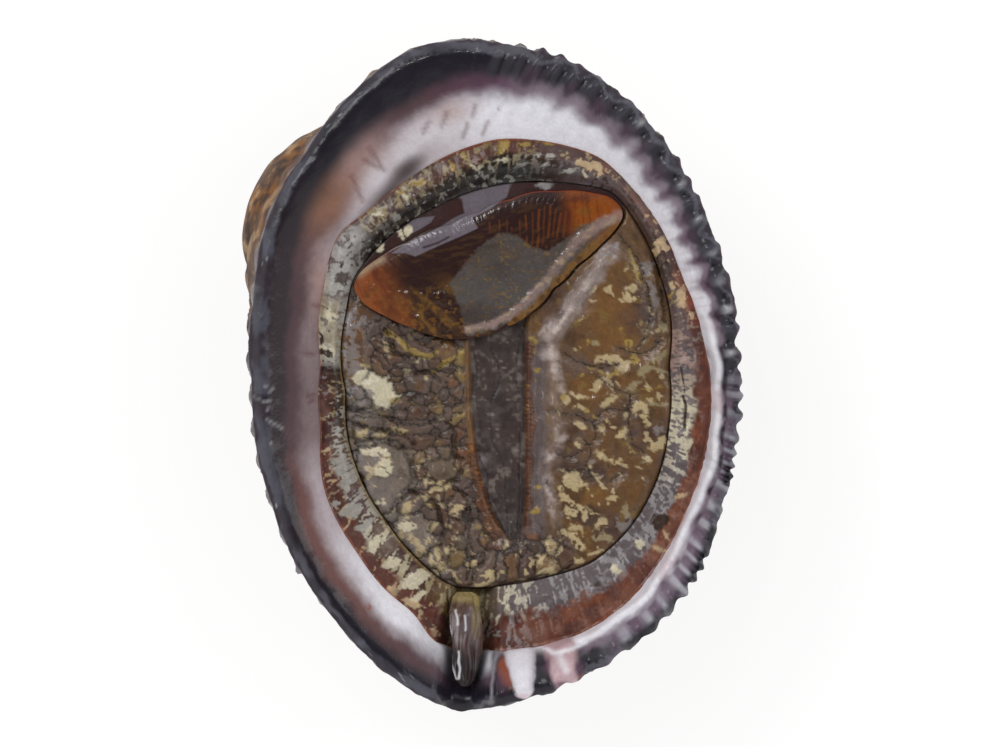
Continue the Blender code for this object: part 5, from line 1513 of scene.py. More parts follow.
def paint_patches(tint, x, y, level, ragged_x, ragged_y):
    """Torn spots and patches in cream, yellow and grey, with the milky spots and the ridge's spots as painted
    highlights, and the yellow cords.
    """
    torn = smooth_step(-0.65, -0.4, noise(level, 0.15, 133) + 0.5 * noise(level, 0.07, 134))
    torn_x, torn_y = ragged(x, y, 0.085, 118)
    # The milky spots laid here are painted highlights.
    for name in ("soft grey", "dull cream", "milky", "cream", "yellow"):
        lay(tint, name, 0.92 * torn * blotches(torn_x, torn_y, FOOT_SPOTS[name]))
    # Painted highlights on the ridge.
    lay(tint, "ridge highlight", 0.5 * blotches(ragged_x, ragged_y, FOOT_SPOTS["ridge highlight"], 0.07))
    lay(tint, "cream", 0.92 * torn * blotches(torn_x, torn_y, LOBE_PATCHES, 0.02))
    lay(tint, "pale cream", 0.92 * torn * blotches(torn_x, torn_y, LOBE_PATCHES[:4], 0.02))
    lay(tint, "pale cream", 0.95 * outline_mask(ragged_x, ragged_y, CREAM_PATCH))
    lay(tint, "yellow", 0.7 * blotch(ragged_x, ragged_y, (-2.75, -0.75, 0.16, 0.1, 40)))
    lay(tint, "soft grey", 0.8 * blotch(ragged_x, ragged_y, (-3.63, -0.62, 0.28, 0.22, 20)))
    for line, half_width in YELLOW_CORDS:
        lay(tint, "yellow", 0.9 * stroke(ragged_x, ragged_y, line, half_width))


def paint_creases(tint, x, y, level, knobs, knobbly):
    """Painted shade in the furrows between the knobs, along the left lobe's creases and on the smooth lobe.
    """
    warped_x, warped_y = ragged(x, y, 0.045, 104)
    _, _, gap, _ = knob_field(warped_x, warped_y, knobs)
    # Painted shade in the furrows: thin dark lines and a broader darkening.
    lay(tint, "furrow", 0.85 * knobbly * near(gap, 0.013 + 0.006 * noise(level, 0.4, 130)))
    lay(tint, "furrow", 0.4 * knobbly * near(gap, 0.055))
    crease = nearest_line(warped_x, warped_y, LOBE_CREASES)
    lay(tint, "furrow", knobbly * (0.7 * near(crease, 0.018) + 0.15 * near(crease, 0.08)))
    way = nearest_line(warped_x, warped_y, RIGHT_FURROWS)
    lay(tint, "furrow", (1.0 - knobbly) * (0.7 * near(way, 0.014) + 0.25 * near(way, 0.12)))


def paint_smooth_lobe(tint, x, y, level):
    """The right lobe's amber and violet clouds, its pale ridge with painted highlights, and its small slanted
    flecks.
    """
    ragged_x, ragged_y = ragged(x, y, 0.055, 111)
    for name in ("lobe violet", "amber", "grey brown"):
        lay(tint, name, 0.75 * blotches(ragged_x, ragged_y, FOOT_SPOTS[name], 0.12))
    lay(tint, "violet brown", 0.5 * smooth_step(0.2, 0.8, noise(level, 0.8, 112)))
    clouds = noise(level, 0.55, 113) + 0.5 * noise(level, 0.18, 114)
    lay(tint, "amber", 0.45 * smooth_step(0.2, 0.8, clouds))
    lay(tint, "dark brown", 0.5 * smooth_step(-0.1, -0.8, clouds))
    crumbs = noise(level, 0.3, 139) + 0.6 * noise(level, 0.1, 137)
    lay(tint, "dull yellow", 0.45 * smooth_step(0.62, 0.8, crumbs))
    side = x - sole_edge(SOLE_RIGHT, y)
    lay(tint, "violet grey", 0.8 * smooth_step(0.75, 0.45, side) * (side > 0.0) * smooth_step(1.3, 0.8, y))
    ridge_gap, _ = line_distance(x, y, RIGHT_RIDGE)
    band = ridge_gap + 0.1 * noise(level, 0.3, 113) + 0.05 * noise(level, 0.1, 115)
    bright = 0.35 + 0.55 * smooth_step(-0.2, 0.9, y)
    wide = 0.3 + 0.14 * smooth_step(0.2, 1.2, y)
    lay(tint, "ridge", bright * smooth_step(wide, 0.06, band))
    # Painted highlights along the ridge.
    gleam = smooth_step(0.15, 0.6, noise(level, 0.26, 131) + 0.5 * noise(level, 0.1, 132))
    lay(tint, "ridge highlight", 0.75 * gleam * bright * smooth_step(0.2, 0.05, band))
    lay(tint, "cream", 0.8 * flecks_on_lobe(level) * smooth_step(0.35, 0.5, ridge_gap) * (x > 1.9))


def knob_tint(x, y, level, knobs):
    """The knobbly lobe's ground: each knob's own tone, greyer at the left, mottled and flecked."""
    warped_x, warped_y = ragged(x, y, 0.045, 104)
    nearest, _, _, _ = knob_field(warped_x, warped_y, knobs)
    tones = np.array([tone(knob[5]) for knob in knobs])
    tint = 0.6 * tones[nearest] + 0.4 * tone("grey brown")
    tint *= (1.0 + 0.22 * noise(level, 0.28, 129))[:, None]
    greyer = smooth_step(-2.3, -3.6, x + 0.25 * noise(level, 0.7, 133)) * smooth_step(0.6, -0.4, y)
    lay(tint, "bulge", 0.65 * greyer)
    lay(tint, "soft grey", 0.45 * smooth_step(-3.2, -3.9, x + 0.5 * (y + 1.0) * (y < -1.0)))
    middle = blotch(x, y, (-1.75, -0.55, 1.25, 1.0, -60), 0.6)
    lay(tint, "dark brown", 0.45 * middle * smooth_step(-0.3, 0.5, noise(level, 0.45, 134)))
    lay(tint, "amber", 0.4 * middle * smooth_step(0.1, 0.7, noise(level, 0.35, 135)))
    mottle = noise(level, 0.2, 114) + 0.6 * noise(level, 0.08, 115)
    low = smooth_step(-1.8, -2.6, y)
    fine = 0.55 * noise(level, 0.1, 137)
    crumbs = noise(level, 0.26, 136) + fine + 0.3 * noise(level, 0.04, 138)
    lay(tint, "cream", 0.75 * low * smooth_step(0.62, 0.74, crumbs))
    lay(tint, "dull yellow", 0.6 * (1.0 - low) * smooth_step(0.66, 0.8, noise(level, 0.26, 139) + fine))
    lay(tint, "dark brown", 0.3 * smooth_step(-0.35, -0.8, mottle))
    margin = left_margin(x, y)
    lay(tint, "soft grey", 0.8 * margin)
    lay(tint, "violet brown", 0.45 * margin * smooth_step(0.1, 0.5, mottle))
    return tint


def paint_by_operculum(tint, x, y, ragged_x, ragged_y):
    """The dark flesh above the operculum with its crumbs and the painted glare of its wet surface, painted
    highlights near the mantle, and painted shade along the operculum's edge.
    """
    beyond = beyond_operculum(x, y)
    above = above_operculum(x, y, beyond)
    # Painted shade on the flesh along the operculum's edge.
    lay(tint, "furrow", 0.45 * smooth_step(0.16, 0.0, beyond) * (1.0 - above))
    lay(tint, "flesh", above)
    # Painted glare of the wet surface on the flesh above the operculum.
    for outline in (FILM_GLARE, SMALL_FILM_GLARE):
        lay(tint, "film glare", 0.9 * above * outline_mask(x, y, outline))
    crumbs = [(-3.18, 3.55, 0.1, 0.14, 30), (-2.62, 3.92, 0.18, 0.08, -40), (-2.38, 4.02, 0.14, 0.1, 0)]
    lay(tint, "pale cream", above * blotches(ragged_x, ragged_y, crumbs))
    # Painted highlights near the mantle.
    gleams = [(1.38, 5.28, 0.24, 0.09, 8), (1.55, 5.36, 0.1, 0.08, 0)]
    lay(tint, "milky", 0.95 * blotches(ragged_x, ragged_y, gleams))


def flecks_on_lobe(level):
    """Small ragged flecks that lie slantwise on the smooth lobe."""
    x, y = level[:, 0], level[:, 1]
    slanted = flat(0.8 * x + 0.6 * y, 0.5 * (0.8 * y - 0.6 * x))
    field = noise(slanted, 0.2, 118) + 0.5 * noise(slanted, 0.08, 119) + 0.4 * noise(level, 0.6, 120)
    return smooth_step(0.92, 1.0, field)


def paint_sole(tint, x, y, level):
    """The sole's dark floor with painted shade in its grooves and a painted mauve highlight, and the orange
    pleated fringes with painted shade between their pleats.
    """
    fringe = np.maximum(*fringe_share(x, y))
    lay(tint, "fringe", 0.88 * fringe)
    lay(tint, "fringe pale", 0.6 * fringe * smooth_step(0.2, 0.8, noise(level, 0.16, 121)))
    lay(tint, "deep red", 0.6 * fringe * smooth_step(0.2, 0.8, noise(level, 0.45, 122)))
    # Painted shade between the pleats.
    lay(tint, "fringe dark", 0.75 * fringe * smooth_step(0.0, -0.5, pleats(x, y)))
    sole = smooth_step(0.35, 0.65, sole_share(x, y))
    lay(tint, "sole", sole)
    mottle = noise(level, 0.34, 123) + 0.7 * noise(level, 0.14, 124) + 0.3 * noise(level, 0.06, 125)
    lay(tint, "sole pale", 0.5 * sole * smooth_step(0.2, 0.9, mottle))
    specks = noise(level, 0.1, 119) + 0.5 * noise(level, 0.3, 120)
    lay(tint, "sole pale", 0.6 * sole * smooth_step(0.6, 0.85, specks))
    lay(tint, "sole dark", 0.55 * sole * smooth_step(-0.2, -0.8, mottle))
    # Painted highlight: a mauve patch on the sole's left.
    cloud = blotch(x, y, (-0.36, -2.15, 0.22, 0.6, 12), 0.25)
    lay(tint, "mauve", 0.75 * sole * cloud * smooth_step(-0.6, 0.3, mottle))
    # Painted shade in the sole's grooves.
    lay(tint, "sole dark", 0.8 * sole * smooth_step(0.16, 0.02, sole_grooves(x, y, level)))
    lay(tint, "sole dark", 0.6 * sole * smooth_step(-3.0, -4.2, y))


def foot_sides(y):
    """The foot's left and right edge at each Y, and its two ends."""
    bearing = np.radians(np.arange(0.0, 360.0, 0.5))
    edge = bowl_ring(bearing, foot_distance(bearing), 0.0)
    far_end = int(np.argmax(edge[:, 1]))
    edge = np.roll(edge, -far_end, axis=0)
    near_end = int(np.argmin(edge[:, 1]))
    left = edge[:near_end + 1][::-1]
    right = edge[near_end:]
    left_x = np.interp(y, left[:, 1], left[:, 0])
    right_x = np.interp(y, right[:, 1], right[:, 0])
    return left_x, right_x, edge[near_end], edge[0]


def foot_section(y, left_x, right_x):
    """One cross section of the foot: over the two lobes and the sole, and back along the cavity."""
    width = right_x - left_x
    sole_left = left_x + width * np.clip((sole_edge(SOLE_LEFT, y) - left_x) / width, 0.25, 0.6)
    sole_right = left_x + width * np.clip((sole_edge(SOLE_RIGHT, y) - left_x) / width, 0.45, 0.75)
    upper = np.concatenate([
        np.linspace(left_x, sole_left, FOOT_LEFT_COLUMNS, endpoint=False),
        np.linspace(sole_left, sole_right, FOOT_SOLE_COLUMNS, endpoint=False),
        np.linspace(sole_right, right_x, FOOT_RIGHT_COLUMNS)])
    lower = np.linspace(right_x, left_x, FOOT_UNDER_COLUMNS)
    section = np.zeros((len(upper) + len(lower), 3))
    section[:, 0] = np.concatenate([upper, lower])
    section[:, 1] = y
    section[len(upper):] = rest_on_cavity(section[len(upper):], FOOT_LIFT)
    return section


def build_foot():
    """The foot as cross sections from its lower end to the spire's end, closest where it narrows."""
    _, _, near_end, far_end = foot_sides(0.0)
    eased = 0.5 - 0.5 * np.cos(math.pi * np.arange(1, FOOT_ROWS) / FOOT_ROWS)
    way = 0.15 * eased + 0.85 * np.linspace(0.002, 0.998, len(eased))
    rows = near_end[1] + (far_end[1] - near_end[1]) * way
    left_x, right_x, _, _ = foot_sides(rows)
    rings = [foot_section(y, left, right) for y, left, right in zip(rows, left_x, right_x)]
    columns = len(rings[0])
    points = np.concatenate(rings)
    knobs = KNOBS + small_knobs()
    on_top = np.arange(len(points)) % columns < columns - FOOT_UNDER_COLUMNS
    points[on_top, 2] = foot_height(points[on_top, 0], points[on_top, 1], knobs)
    poles = [np.array([end[0], end[1], FOOT_LEVEL - 1.0]) for end in (near_end, far_end)]
    body = len(points)
    points = np.concatenate([points, poles])
    tint = plain(len(points), TONES["dark brown"])
    tint[:body][on_top] = paint_foot(points[:body][on_top], knobs)
    gloss = 0.6 + 0.3 * noise(points, 0.5, 126) - 0.5 * sole_share(points[:, 0], points[:, 1])
    material = make_surface(
        "foot", roughness=0.45, coat=1.0, grain_size=0.06, grain_depth=0.008, scatter=0.12)
    faces = tube_faces(len(rings), columns, turned=True)
    return make_piece("foot_skin", points, faces, tint, gloss, material)


# The operculum


OPERCULUM_COLUMNS = 640
OPERCULUM_ROWS = 110
# The plate's grey middle, a painted glare on its wet surface
GREY_GLARE_ZONE = [
    (-1.21, 2.56), (-0.71, 3.22), (-0.15, 3.78), (0.29, 3.97), (0.63, 3.89), (1.07, 3.56), (1.49, 3.47),
    (1.93, 3.72), (2.38, 4.11), (3.15, 4.42), (3.6, 4.36), (3.04, 3.78), (2.04, 2.67), (1.49, 2.11),
    (1.29, 1.83), (0.74, 1.58), (0.13, 1.31), (-0.71, 1.08), (-0.93, 1.83)]
# The painted glare of the wet surface over the operculum's upper left, and the smaller one above it
FILM_GLARE = [
    (-2.85, 3.39), (-2.44, 3.65), (-1.86, 3.94), (-1.48, 4.13), (-1.1, 4.38), (-0.81, 4.51), (-0.88, 4.89),
    (-1.1, 5.05), (-0.46, 5.24), (0.5, 5.37), (0.37, 4.96), (-0.08, 4.64), (-0.59, 4.38), (-0.43, 4.09),
    (-0.97, 3.84), (-1.48, 3.62), (-2.18, 3.3), (-2.44, 3.39)]
SMALL_FILM_GLARE = [
    (-2.5, 4.09), (-2.31, 4.32), (-1.99, 4.39), (-1.64, 4.43), (-1.74, 4.26), (-2.05, 4.06), (-2.31, 3.94)]
PALE_BAND = [
    (3.52, 4.46), (3.02, 4.24), (2.42, 3.82), (1.9, 3.18), (1.32, 2.46), (0.68, 1.82), (0.0, 1.42),
    (-0.75, 1.27)]
GOLD_STRIP = [
    (3.55, 4.22), (3.3, 4.0), (2.68, 3.45), (2.25, 3.0), (1.92, 2.66), (1.43, 2.14), (0.98, 1.7),
    (0.55, 1.45)]
GROWTH_LINES = [
    ([(-0.12, 4.25), (-0.1, 3.95)], 0.01), ([(0.15, 4.3), (0.18, 3.75)], 0.012),
    ([(0.36, 4.35), (0.38, 3.85)], 0.008), ([(0.5, 4.1), (0.52, 3.85)], 0.012),
    ([(0.72, 4.45), (0.74, 3.7)], 0.008), ([(0.9, 4.45), (0.93, 3.5)], 0.018),
    ([(1.1, 4.55), (1.08, 3.5)], 0.009), ([(1.27, 4.6), (1.24, 3.52)], 0.024),
    ([(1.42, 4.7), (1.38, 3.52)], 0.01), ([(1.58, 4.75), (1.55, 4.1), (1.48, 3.55)], 0.022),
    ([(1.72, 4.6), (1.64, 3.6)], 0.012), ([(1.86, 4.5), (1.76, 3.7)], 0.02),
    ([(2.02, 4.55), (1.95, 3.85)], 0.016), ([(2.22, 4.6), (2.14, 3.95)], 0.01)]

FILM_CRACK = [(-1.95, 3.55), (-1.55, 3.68), (-1.25, 3.84)]
TIP_EDGE = [(-3.72, 2.8), (-3.42, 3.05), (-3.1, 3.22)]
# Red and gold spots near the plate's orange end
PLATE_SPOTS = [
    ("plate red", 0.8, [(2.35, 4.92, 0.3, 0.08, 5), (2.05, 4.4, 0.12, 0.28, 0)], 0.12),
    ("plate gold", 0.6, [(2.52, 4.56, 0.16, 0.1, 0), (2.45, 4.05, 0.18, 0.16, 0)], 0.1)]


def operculum_ring(share, side):
    """A ring of the plate: side is 1 on its upper face and -1 underneath."""
    bearing = np.radians(np.linspace(-180.0, 180.0, OPERCULUM_COLUMNS, endpoint=False))
    x, y = plan_point(OPERCULUM_CENTRE, bearing, operculum_distance(bearing) * share)
    middle = operculum_under(y) + OPERCULUM_THICKNESS / 2
    thickness = OPERCULUM_THICKNESS * (1.0 - 0.55 * share ** 6)
    return np.stack([x, y, middle + side * thickness / 2], axis=-1)


def operculum_relief(x, y, share):
    """Faint growth lines, and the frayed pale band and the flaky strip beside it."""
    level = flat(x, y)
    from_nucleus = np.hypot((x - 3.2) * 0.55, y - 4.6)
    lines = np.sin(2 * math.pi * (from_nucleus / 0.09 + 0.5 * noise(level, 0.9, 131)))
    relief = 0.001 * lines + 0.01 * noise(level, 0.9, 132)
    band, _ = line_distance(x, y, PALE_BAND)
    strip, _ = line_distance(x, y, GOLD_STRIP)
    rough = noise(level, 0.12, 134)
    relief += (0.015 + 0.014 * rough) * near(band, 0.14) + 0.03 * rough * near(strip, 0.12)
    flaky = smooth_step(-0.7, -1.3, x) * smooth_step(2.9, 2.3, y)
    relief += flaky * (0.012 * noise(level, 0.16, 137) + 0.006 * noise(level, 0.07, 138))
    return relief * smooth_step(1.0, 0.88, share)


def paint_operculum(points):
    """A near black plate with red, gold and grey parts, and the pale glare of its wet surface; the grey
    middle and that glare are painted reflections.
    """
    x, y = points[:, 0], points[:, 1]
    level = flat(x, y)
    tint = plain(len(points), TONES["plate dark"])
    fan = flat(0.25 * (x + 0.3 * y), y - 0.3 * x - 0.05 * x * x)
    streaks = noise(fan, 0.1, 155) + 0.5 * noise(fan, 0.04, 156)
    lay(tint, "plate brown", 0.4 * smooth_step(0.0, 0.8, streaks))
    wide = 0.15 * noise(level, 0.6, 135)
    paint_upper_plate(tint, x, y, level, wide)
    paint_lower_plate(tint, x, y, level, wide)
    upper = smooth_step(0.0, 0.4, y - 3.6 - 0.28 * x) * smooth_step(-0.8, 0.2, x)
    lay(tint, "plate edge", 0.7 * upper * smooth_step(0.07, 0.02, -beyond_operculum(x, y)))
    warped_x, warped_y = ragged(x, y, 0.035, 141)
    # Painted glare: the grey middle of the plate.
    paint_grey_glare(tint, x, y, level, outline_mask(warped_x, warped_y, GREY_GLARE_ZONE, 0.05))
    paint_plate_bands(tint, x, y, level, warped_x, warped_y)
    # Painted glare of the wet surface over the upper left, with a dark break across it.
    lay(tint, "film glare", 0.92 * outline_mask(x, y, FILM_GLARE, 0.015))
    lay(tint, "plate dark", 0.8 * stroke(x, y, FILM_CRACK, 0.03, 0.02))
    tint *= (1.0 + 0.08 * noise(level, 0.12, 147))[:, None]
    return tint


def paint_grey_glare(tint, x, y, level, grey):
    """The grey zone across the plate's middle, a painted glare on its wet surface, streaked with gold and
    dark.
    """
    drawn = flat(0.22 * (x + 0.3 * y), y - 0.22 * x)
    streaks = noise(drawn, 0.07, 142) + 0.5 * noise(drawn, 0.03, 143)
    lay(tint, "plate brown", 0.5 * grey)
    lay(tint, "plate grey", (0.86 - 0.2 * smooth_step(2.2, 3.6, y)) * grey)
    lay(tint, "plate gold", 0.3 * grey * smooth_step(0.3, 0.9, streaks))
    lay(tint, "film dim", 0.35 * grey * smooth_step(-0.3, -0.9, streaks))
    speckle = smooth_step(0.62, 0.75, noise(level, 0.07, 139) + 0.35 * noise(level, 0.3, 140))
    lay(tint, "dull yellow", 0.4 * grey * speckle)
    broad = flat(0.3 * (x + 0.3 * y), y - 0.22 * x)
    lay(tint, "plate dark", 0.45 * grey * smooth_step(0.0, 0.8, noise(broad, 0.3, 144)))


def paint_plate_bands(tint, x, y, level, warped_x, warped_y):
    """The flaky gold strip along the plate's lower right edge, and the frayed pale band beside it."""
    strip, _ = line_distance(warped_x, warped_y, GOLD_STRIP)
    lay(tint, "plate gold", 0.9 * smooth_step(0.2, 0.1, strip))
    flakes = smooth_step(0.0, 0.5, noise(level, 0.12, 146))
    lay(tint, "fringe dark", 0.6 * smooth_step(0.17, 0.08, strip) * flakes)
    spots = [(3.05, 3.85, 0.2, 0.12, 50), (3.42, 4.12, 0.14, 0.08, 55)]
    lay(tint, "orange", 0.7 * blotches(x, y, spots, 0.1))
    band, along = line_distance(warped_x, warped_y, PALE_BAND)
    reach = band / (0.17 - 0.05 * along)
    faint = 0.68 - 0.22 * near(along - 0.45, 0.2)
    lay(tint, "plate rose", faint * smooth_step(1.35, 0.3, reach))
    frayed = smooth_step(0.1, 0.6, noise(level, 0.12, 145))
    lay(tint, "tip cream", 0.55 * smooth_step(1.2, 0.3, reach) * frayed)


def paint_upper_plate(tint, x, y, level, wide):
    """The upper right of the plate: orange at its end, dark red-brown inwards, with fine upright lines."""
    glow = smooth_step(1.75, 2.65, x + 0.35 * (y - 4.3) + wide)
    lay(tint, "plate orange", glow)
    upright = flat(x + 0.06 * y, 0.1 * y)
    lay(tint, "plate red", 0.45 * glow * smooth_step(0.1, 0.7, noise(upright, 0.06, 148)))
    for name, strength, spots, soft in PLATE_SPOTS:
        lay(tint, name, strength * blotches(x, y, spots, soft))
    worn = smooth_step(-0.6, 0.1, noise(level, 0.22, 149))
    warped_x = x + 0.015 * noise(level, 0.3, 138)
    for line, half_width in GROWTH_LINES:
        lay(tint, "plate line", 0.8 * worn * stroke(warped_x, y, line, half_width, 0.025))


def paint_lower_plate(tint, x, y, level, wide):
    """The lower left of the plate: flaky golden brown under a dark band, and the orange-red left tip."""
    fan = flat(16.0 * np.arctan2(y - 4.6, x + 4.6), 0.4 * np.hypot(x + 4.6, y - 4.6))
    lines = noise(fan, 0.8, 136) + 0.5 * noise(fan, 0.3, 150)
    low = smooth_step(3.5, 2.7, y - 0.3 * x + wide) * smooth_step(0.2, -0.6, x)
    lay(tint, "plate brown", 0.75 * low * smooth_step(-0.5, 0.4, lines))
    lay(tint, "plate gold", 0.55 * low * smooth_step(0.2, 0.8, lines))
    deep_band = blotch(x, y, (-1.75, 2.75, 1.1, 0.38, 12), 0.25)
    lay(tint, "plate dark", 0.65 * deep_band)
    cells = noise(level, 0.11, 151) + 0.6 * noise(level, 0.05, 152)
    flaky = low * smooth_step(2.75, 2.2, y)
    lay(tint, "plate gold", 0.6 * flaky * smooth_step(0.3, 0.7, cells))
    lay(tint, "dark brown", 0.6 * flaky * smooth_step(-0.2, -0.6, cells))
    tip = smooth_step(-2.15, -3.35, x + 0.3 * (y - 2.2) + 0.22 * noise(level, 0.5, 153) + 0.12 * lines)
    lay(tint, "tip red", 0.85 * tip)
    lay(tint, "tip dark", 0.55 * tip * smooth_step(0.0, 0.6, lines))
    lay(tint, "plate gold", 0.45 * tip * smooth_step(0.0, 0.6, noise(level, 0.1, 155)))
    lay(tint, "plate red", 0.45 * tip * smooth_step(0.1, 0.7, noise(level, 0.22, 137)))
    lay(tint, "tip cream", 0.75 * stroke(x, y, TIP_EDGE, 0.07, 0.12))


def build_operculum():
    """The plate's upper face from its middle to its edge, and its underside back to the middle."""
    shares = 1.0 - (1.0 - np.linspace(0.01, 1.0, OPERCULUM_ROWS)) ** 1.2
    rings, tints = [], []
    for share in shares:
        ring = operculum_ring(share, 1.0)
        ring[:, 2] += operculum_relief(ring[:, 0], ring[:, 1], np.full(len(ring), share))
        rings.append(ring)
        tints.append(paint_operculum(ring))
    for share in (0.97, 0.6, 0.2):
        rings.append(operculum_ring(share, -1.0))
        tints.append(plain(OPERCULUM_COLUMNS, TONES["plate red"]))
    middle = float(operculum_under(OPERCULUM_CENTRE[1])) + OPERCULUM_THICKNESS / 2
    poles = [np.array([*OPERCULUM_CENTRE, middle + side * OPERCULUM_THICKNESS / 2]) for side in (1, -1)]
    points = np.concatenate([*rings, poles])
    tint = np.concatenate([*tints, plain(2, TONES["plate grey"])])
    dx = points[:, 0] - OPERCULUM_CENTRE[0]
    dy = points[:, 1] - OPERCULUM_CENTRE[1]
    out = np.hypot(dx, dy) / operculum_distance(np.arctan2(dy, dx))
    gloss = 0.85 - 0.6 * smooth_step(0.88, 0.97, out)
    material = make_surface("operculum", roughness=0.4, coat=1.0, grain_size=0.08, grain_depth=0.003)
    faces = tube_faces(len(rings), OPERCULUM_COLUMNS, turned=True)
    return make_piece("operculum_plate", points, faces, tint, gloss, material)


# The siphon


# Painted highlights along the siphon's folds
SIPHON_GLEAMS = [
    [(-1.2, -7.0), (-1.22, -7.6), (-1.14, -8.2), (-1.04, -8.45)],
    [(-0.98, -7.7), (-0.94, -8.2), (-0.98, -8.45)], [(-1.05, -6.55), (-1.0, -6.95)],
    [(-0.8, -6.7), (-0.78, -7.1)]]
SIPHON_ROWS = 170
SIPHON_COLUMNS = 110
SIPHON_FOLDS = 7
SIPHON_ROOT_DROP = 0.3


def build_siphon():
    """A folded tube along the siphon's middle line, closed at both ends."""
    given = np.array(SIPHON_POINTS)
    way = np.linspace(0.0, len(given) - 1.0, SIPHON_ROWS)
    path = np.stack([np.interp(way, np.arange(len(given)), given[:, axis]) for axis in range(4)], axis=-1)
    path[:, 2] -= SIPHON_ROOT_DROP * smooth_step(-6.75, -6.05, path[:, 1])
    around = np.linspace(0.0, 2.0 * math.pi, SIPHON_COLUMNS, endpoint=False)
    rings = []
    for number, (x, y, z, share) in enumerate(path):
        sway = 0.7 * math.sin(0.05 * number) + 0.3 * math.sin(0.13 * number)
        folds = np.abs(np.sin(0.5 * SIPHON_FOLDS * around + sway)) ** 0.6
        waver = 0.05 * np.sin(3.0 * around + 0.09 * number)
        radius = SIPHON_RADIUS * share * (0.78 + 0.22 * folds + waver)
        side = x + 1.08 * radius * np.cos(around)
        height = z + 0.8 * radius * np.sin(around)
        rings.append(np.stack([side, np.full_like(around, y), height], axis=-1))
    points = np.concatenate([*rings, [path[0, :3], path[-1, :3]]])
    material = make_surface(
        "siphon", roughness=0.36, coat=1.0, grain_size=0.05, grain_depth=0.006, scatter=0.12)
    faces = tube_faces(SIPHON_ROWS, SIPHON_COLUMNS)
    return make_piece("siphon_tube", points, faces, paint_siphon(points), np.full(len(points), 0.5), material)


def paint_siphon(points):
    """Yellow skin at its root, then folds in brown, grey violet and white, the white as painted highlights,
    and near black at its end.
    """
    x, y = points[:, 0], points[:, 1]
    drawn = np.stack([x, 0.13 * y, points[:, 2]], axis=-1)
    streak = noise(drawn, 0.13, 151) + 0.5 * noise(drawn, 0.05, 152)
    other = noise(drawn, 0.18, 155) + 0.4 * noise(points, 0.12, 156)
    tint = plain(len(points), TONES["siphon brown"])
    lay(tint, "siphon violet", 0.8 * smooth_step(-0.1, 0.4, other))
    lay(tint, "siphon pale", 0.8 * smooth_step(0.35, 0.75, streak) * smooth_step(-8.1, -7.4, y))
    lay(tint, "deep red", 0.75 * smooth_step(-0.2, -0.6, streak))
    lay(tint, "siphon yellow", 0.9 * smooth_step(-6.6, -6.25, y + 0.2 * noise(points, 0.22, 153)))
    to_right = smooth_step(-0.66, -0.56, x) * smooth_step(-7.6, -6.9, y)
    lay(tint, "siphon yellow", 0.5 * to_right * smooth_step(-0.3, 0.3, other))
    lay(tint, "siphon dark", 0.92 * smooth_step(-7.35, -7.95, y + 0.35 * noise(drawn, 0.14, 154)))
    # Painted highlights.
    for line in SIPHON_GLEAMS:
        lay(tint, "white", 0.85 * stroke(x + 0.03 * noise(points, 0.2, 157), y, line, 0.022, 0.035))
    return tint


# The floor, the light and the camera

# Camera distance and lamps in metres, the frame's width and the camera's aim in mm
CAMERA_DISTANCE = 0.4
FRAME_WIDTH = 27.78
CAMERA_AIM = (0.18, 0.04)
# Each lamp's name, place, size and strength
LAMPS = [
    ("key", (-0.2, 0.2, 0.35), (0.16, 0.16), 0.35), ("fill", (0.25, 0.1, 0.3), (0.12, 0.2), 0.12),
    ("spark", (-0.06, 0.16, 0.4), (0.02, 0.03), 0.05)]
# The tent's brightness from its foot to straight above
TENT_STOPS = [(0.0, 0.95), (0.55, 0.95), (0.86, 0.75), (0.96, 0.22), (1.0, 0.16)]


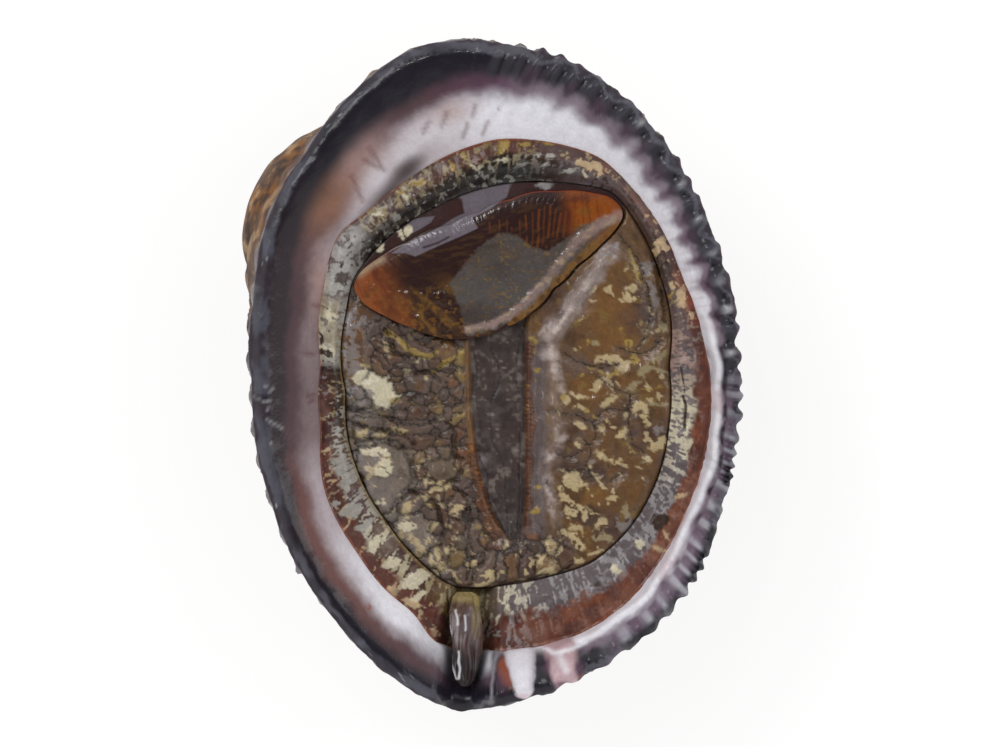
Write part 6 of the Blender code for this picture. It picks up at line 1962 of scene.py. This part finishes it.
def build_floor():
    """A pale floor that lights itself a little, so that it stays plain."""
    mesh = bpy.data.meshes.new("floor")
    corners = [(-2.0, -2.0, 0.0), (2.0, -2.0, 0.0), (2.0, 2.0, 0.0), (-2.0, 2.0, 0.0)]
    mesh.from_pydata(corners, [], [(0, 1, 2, 3)])
    material = bpy.data.materials.new("floor")
    material.use_nodes = True
    feed(material.node_tree, material.node_tree.nodes["Principled BSDF"], {
        "Base Color": (0.35, 0.35, 0.35, 1.0), "Roughness": 1.0, "Specular IOR Level": 0.0,
        "Emission Color": (1.0, 1.0, 1.0, 1.0), "Emission Strength": 0.75})
    mesh.materials.append(material)
    floor = add_object("floor", mesh)


def build_world():
    """A light tent: bright round the sides, dimmer straight above, where the camera stands."""
    world = bpy.data.worlds.new("tent")
    bpy.context.scene.world = world
    world.use_nodes = True
    tree = world.node_tree
    place = add_node(tree, "ShaderNodeTexCoord", {})
    parts = add_node(tree, "ShaderNodeSeparateXYZ", {"Vector": place.outputs["Generated"]})
    ramp = add_node(tree, "ShaderNodeValToRGB", {"Fac": parts.outputs["Z"]})
    while len(ramp.color_ramp.elements) < len(TENT_STOPS):
        ramp.color_ramp.elements.new(0.5)
    for element, (position, level) in zip(ramp.color_ramp.elements, TENT_STOPS):
        element.position = position
        element.color = (level, level, level, 1.0)
    feed(tree, tree.nodes["Background"], {"Color": ramp.outputs["Color"], "Strength": 0.9})


def build_lamp(name, place, size, strength):
    """A lamp that points at the middle of the rim."""
    light = bpy.data.lights.new(name, "AREA")
    light.shape = "RECTANGLE"
    light.size, light.size_y = size
    light.energy = strength
    lamp = add_object(name, light)
    lamp.location = place
    direction = np.array([0.0, 0.0, RIM_HEIGHT * MM]) - np.array(place)
    lamp.rotation_euler = Vector(direction).to_track_quat("-Z", "Y").to_euler()


def build_camera():
    """A camera straight above the opening."""
    data = bpy.data.cameras.new("camera")
    data.sensor_width = 36.0
    data.lens = data.sensor_width * CAMERA_DISTANCE / (FRAME_WIDTH * MM)
    data.clip_start = 0.01
    data.clip_end = 10.0
    camera = add_object("camera", data)
    camera.location = (CAMERA_AIM[0] * MM, CAMERA_AIM[1] * MM, RIM_HEIGHT * MM + CAMERA_DISTANCE)
    bpy.context.scene.camera = camera


def main():
    """Build the scene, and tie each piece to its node."""
    bpy.context.scene.view_settings.view_transform = "Standard"
    build_camera()
    build_world()
    for lamp in LAMPS:
        build_lamp(*lamp)
    build_floor()
    pieces = [
        (build_shell(), "shell"), (build_mantle(), "mantle"), (build_siphon(), "siphon"),
        (build_foot(), "foot"), (build_operculum(), "operculum")]
    for piece, node in pieces:
        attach(piece, "root")
        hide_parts(node)


main()
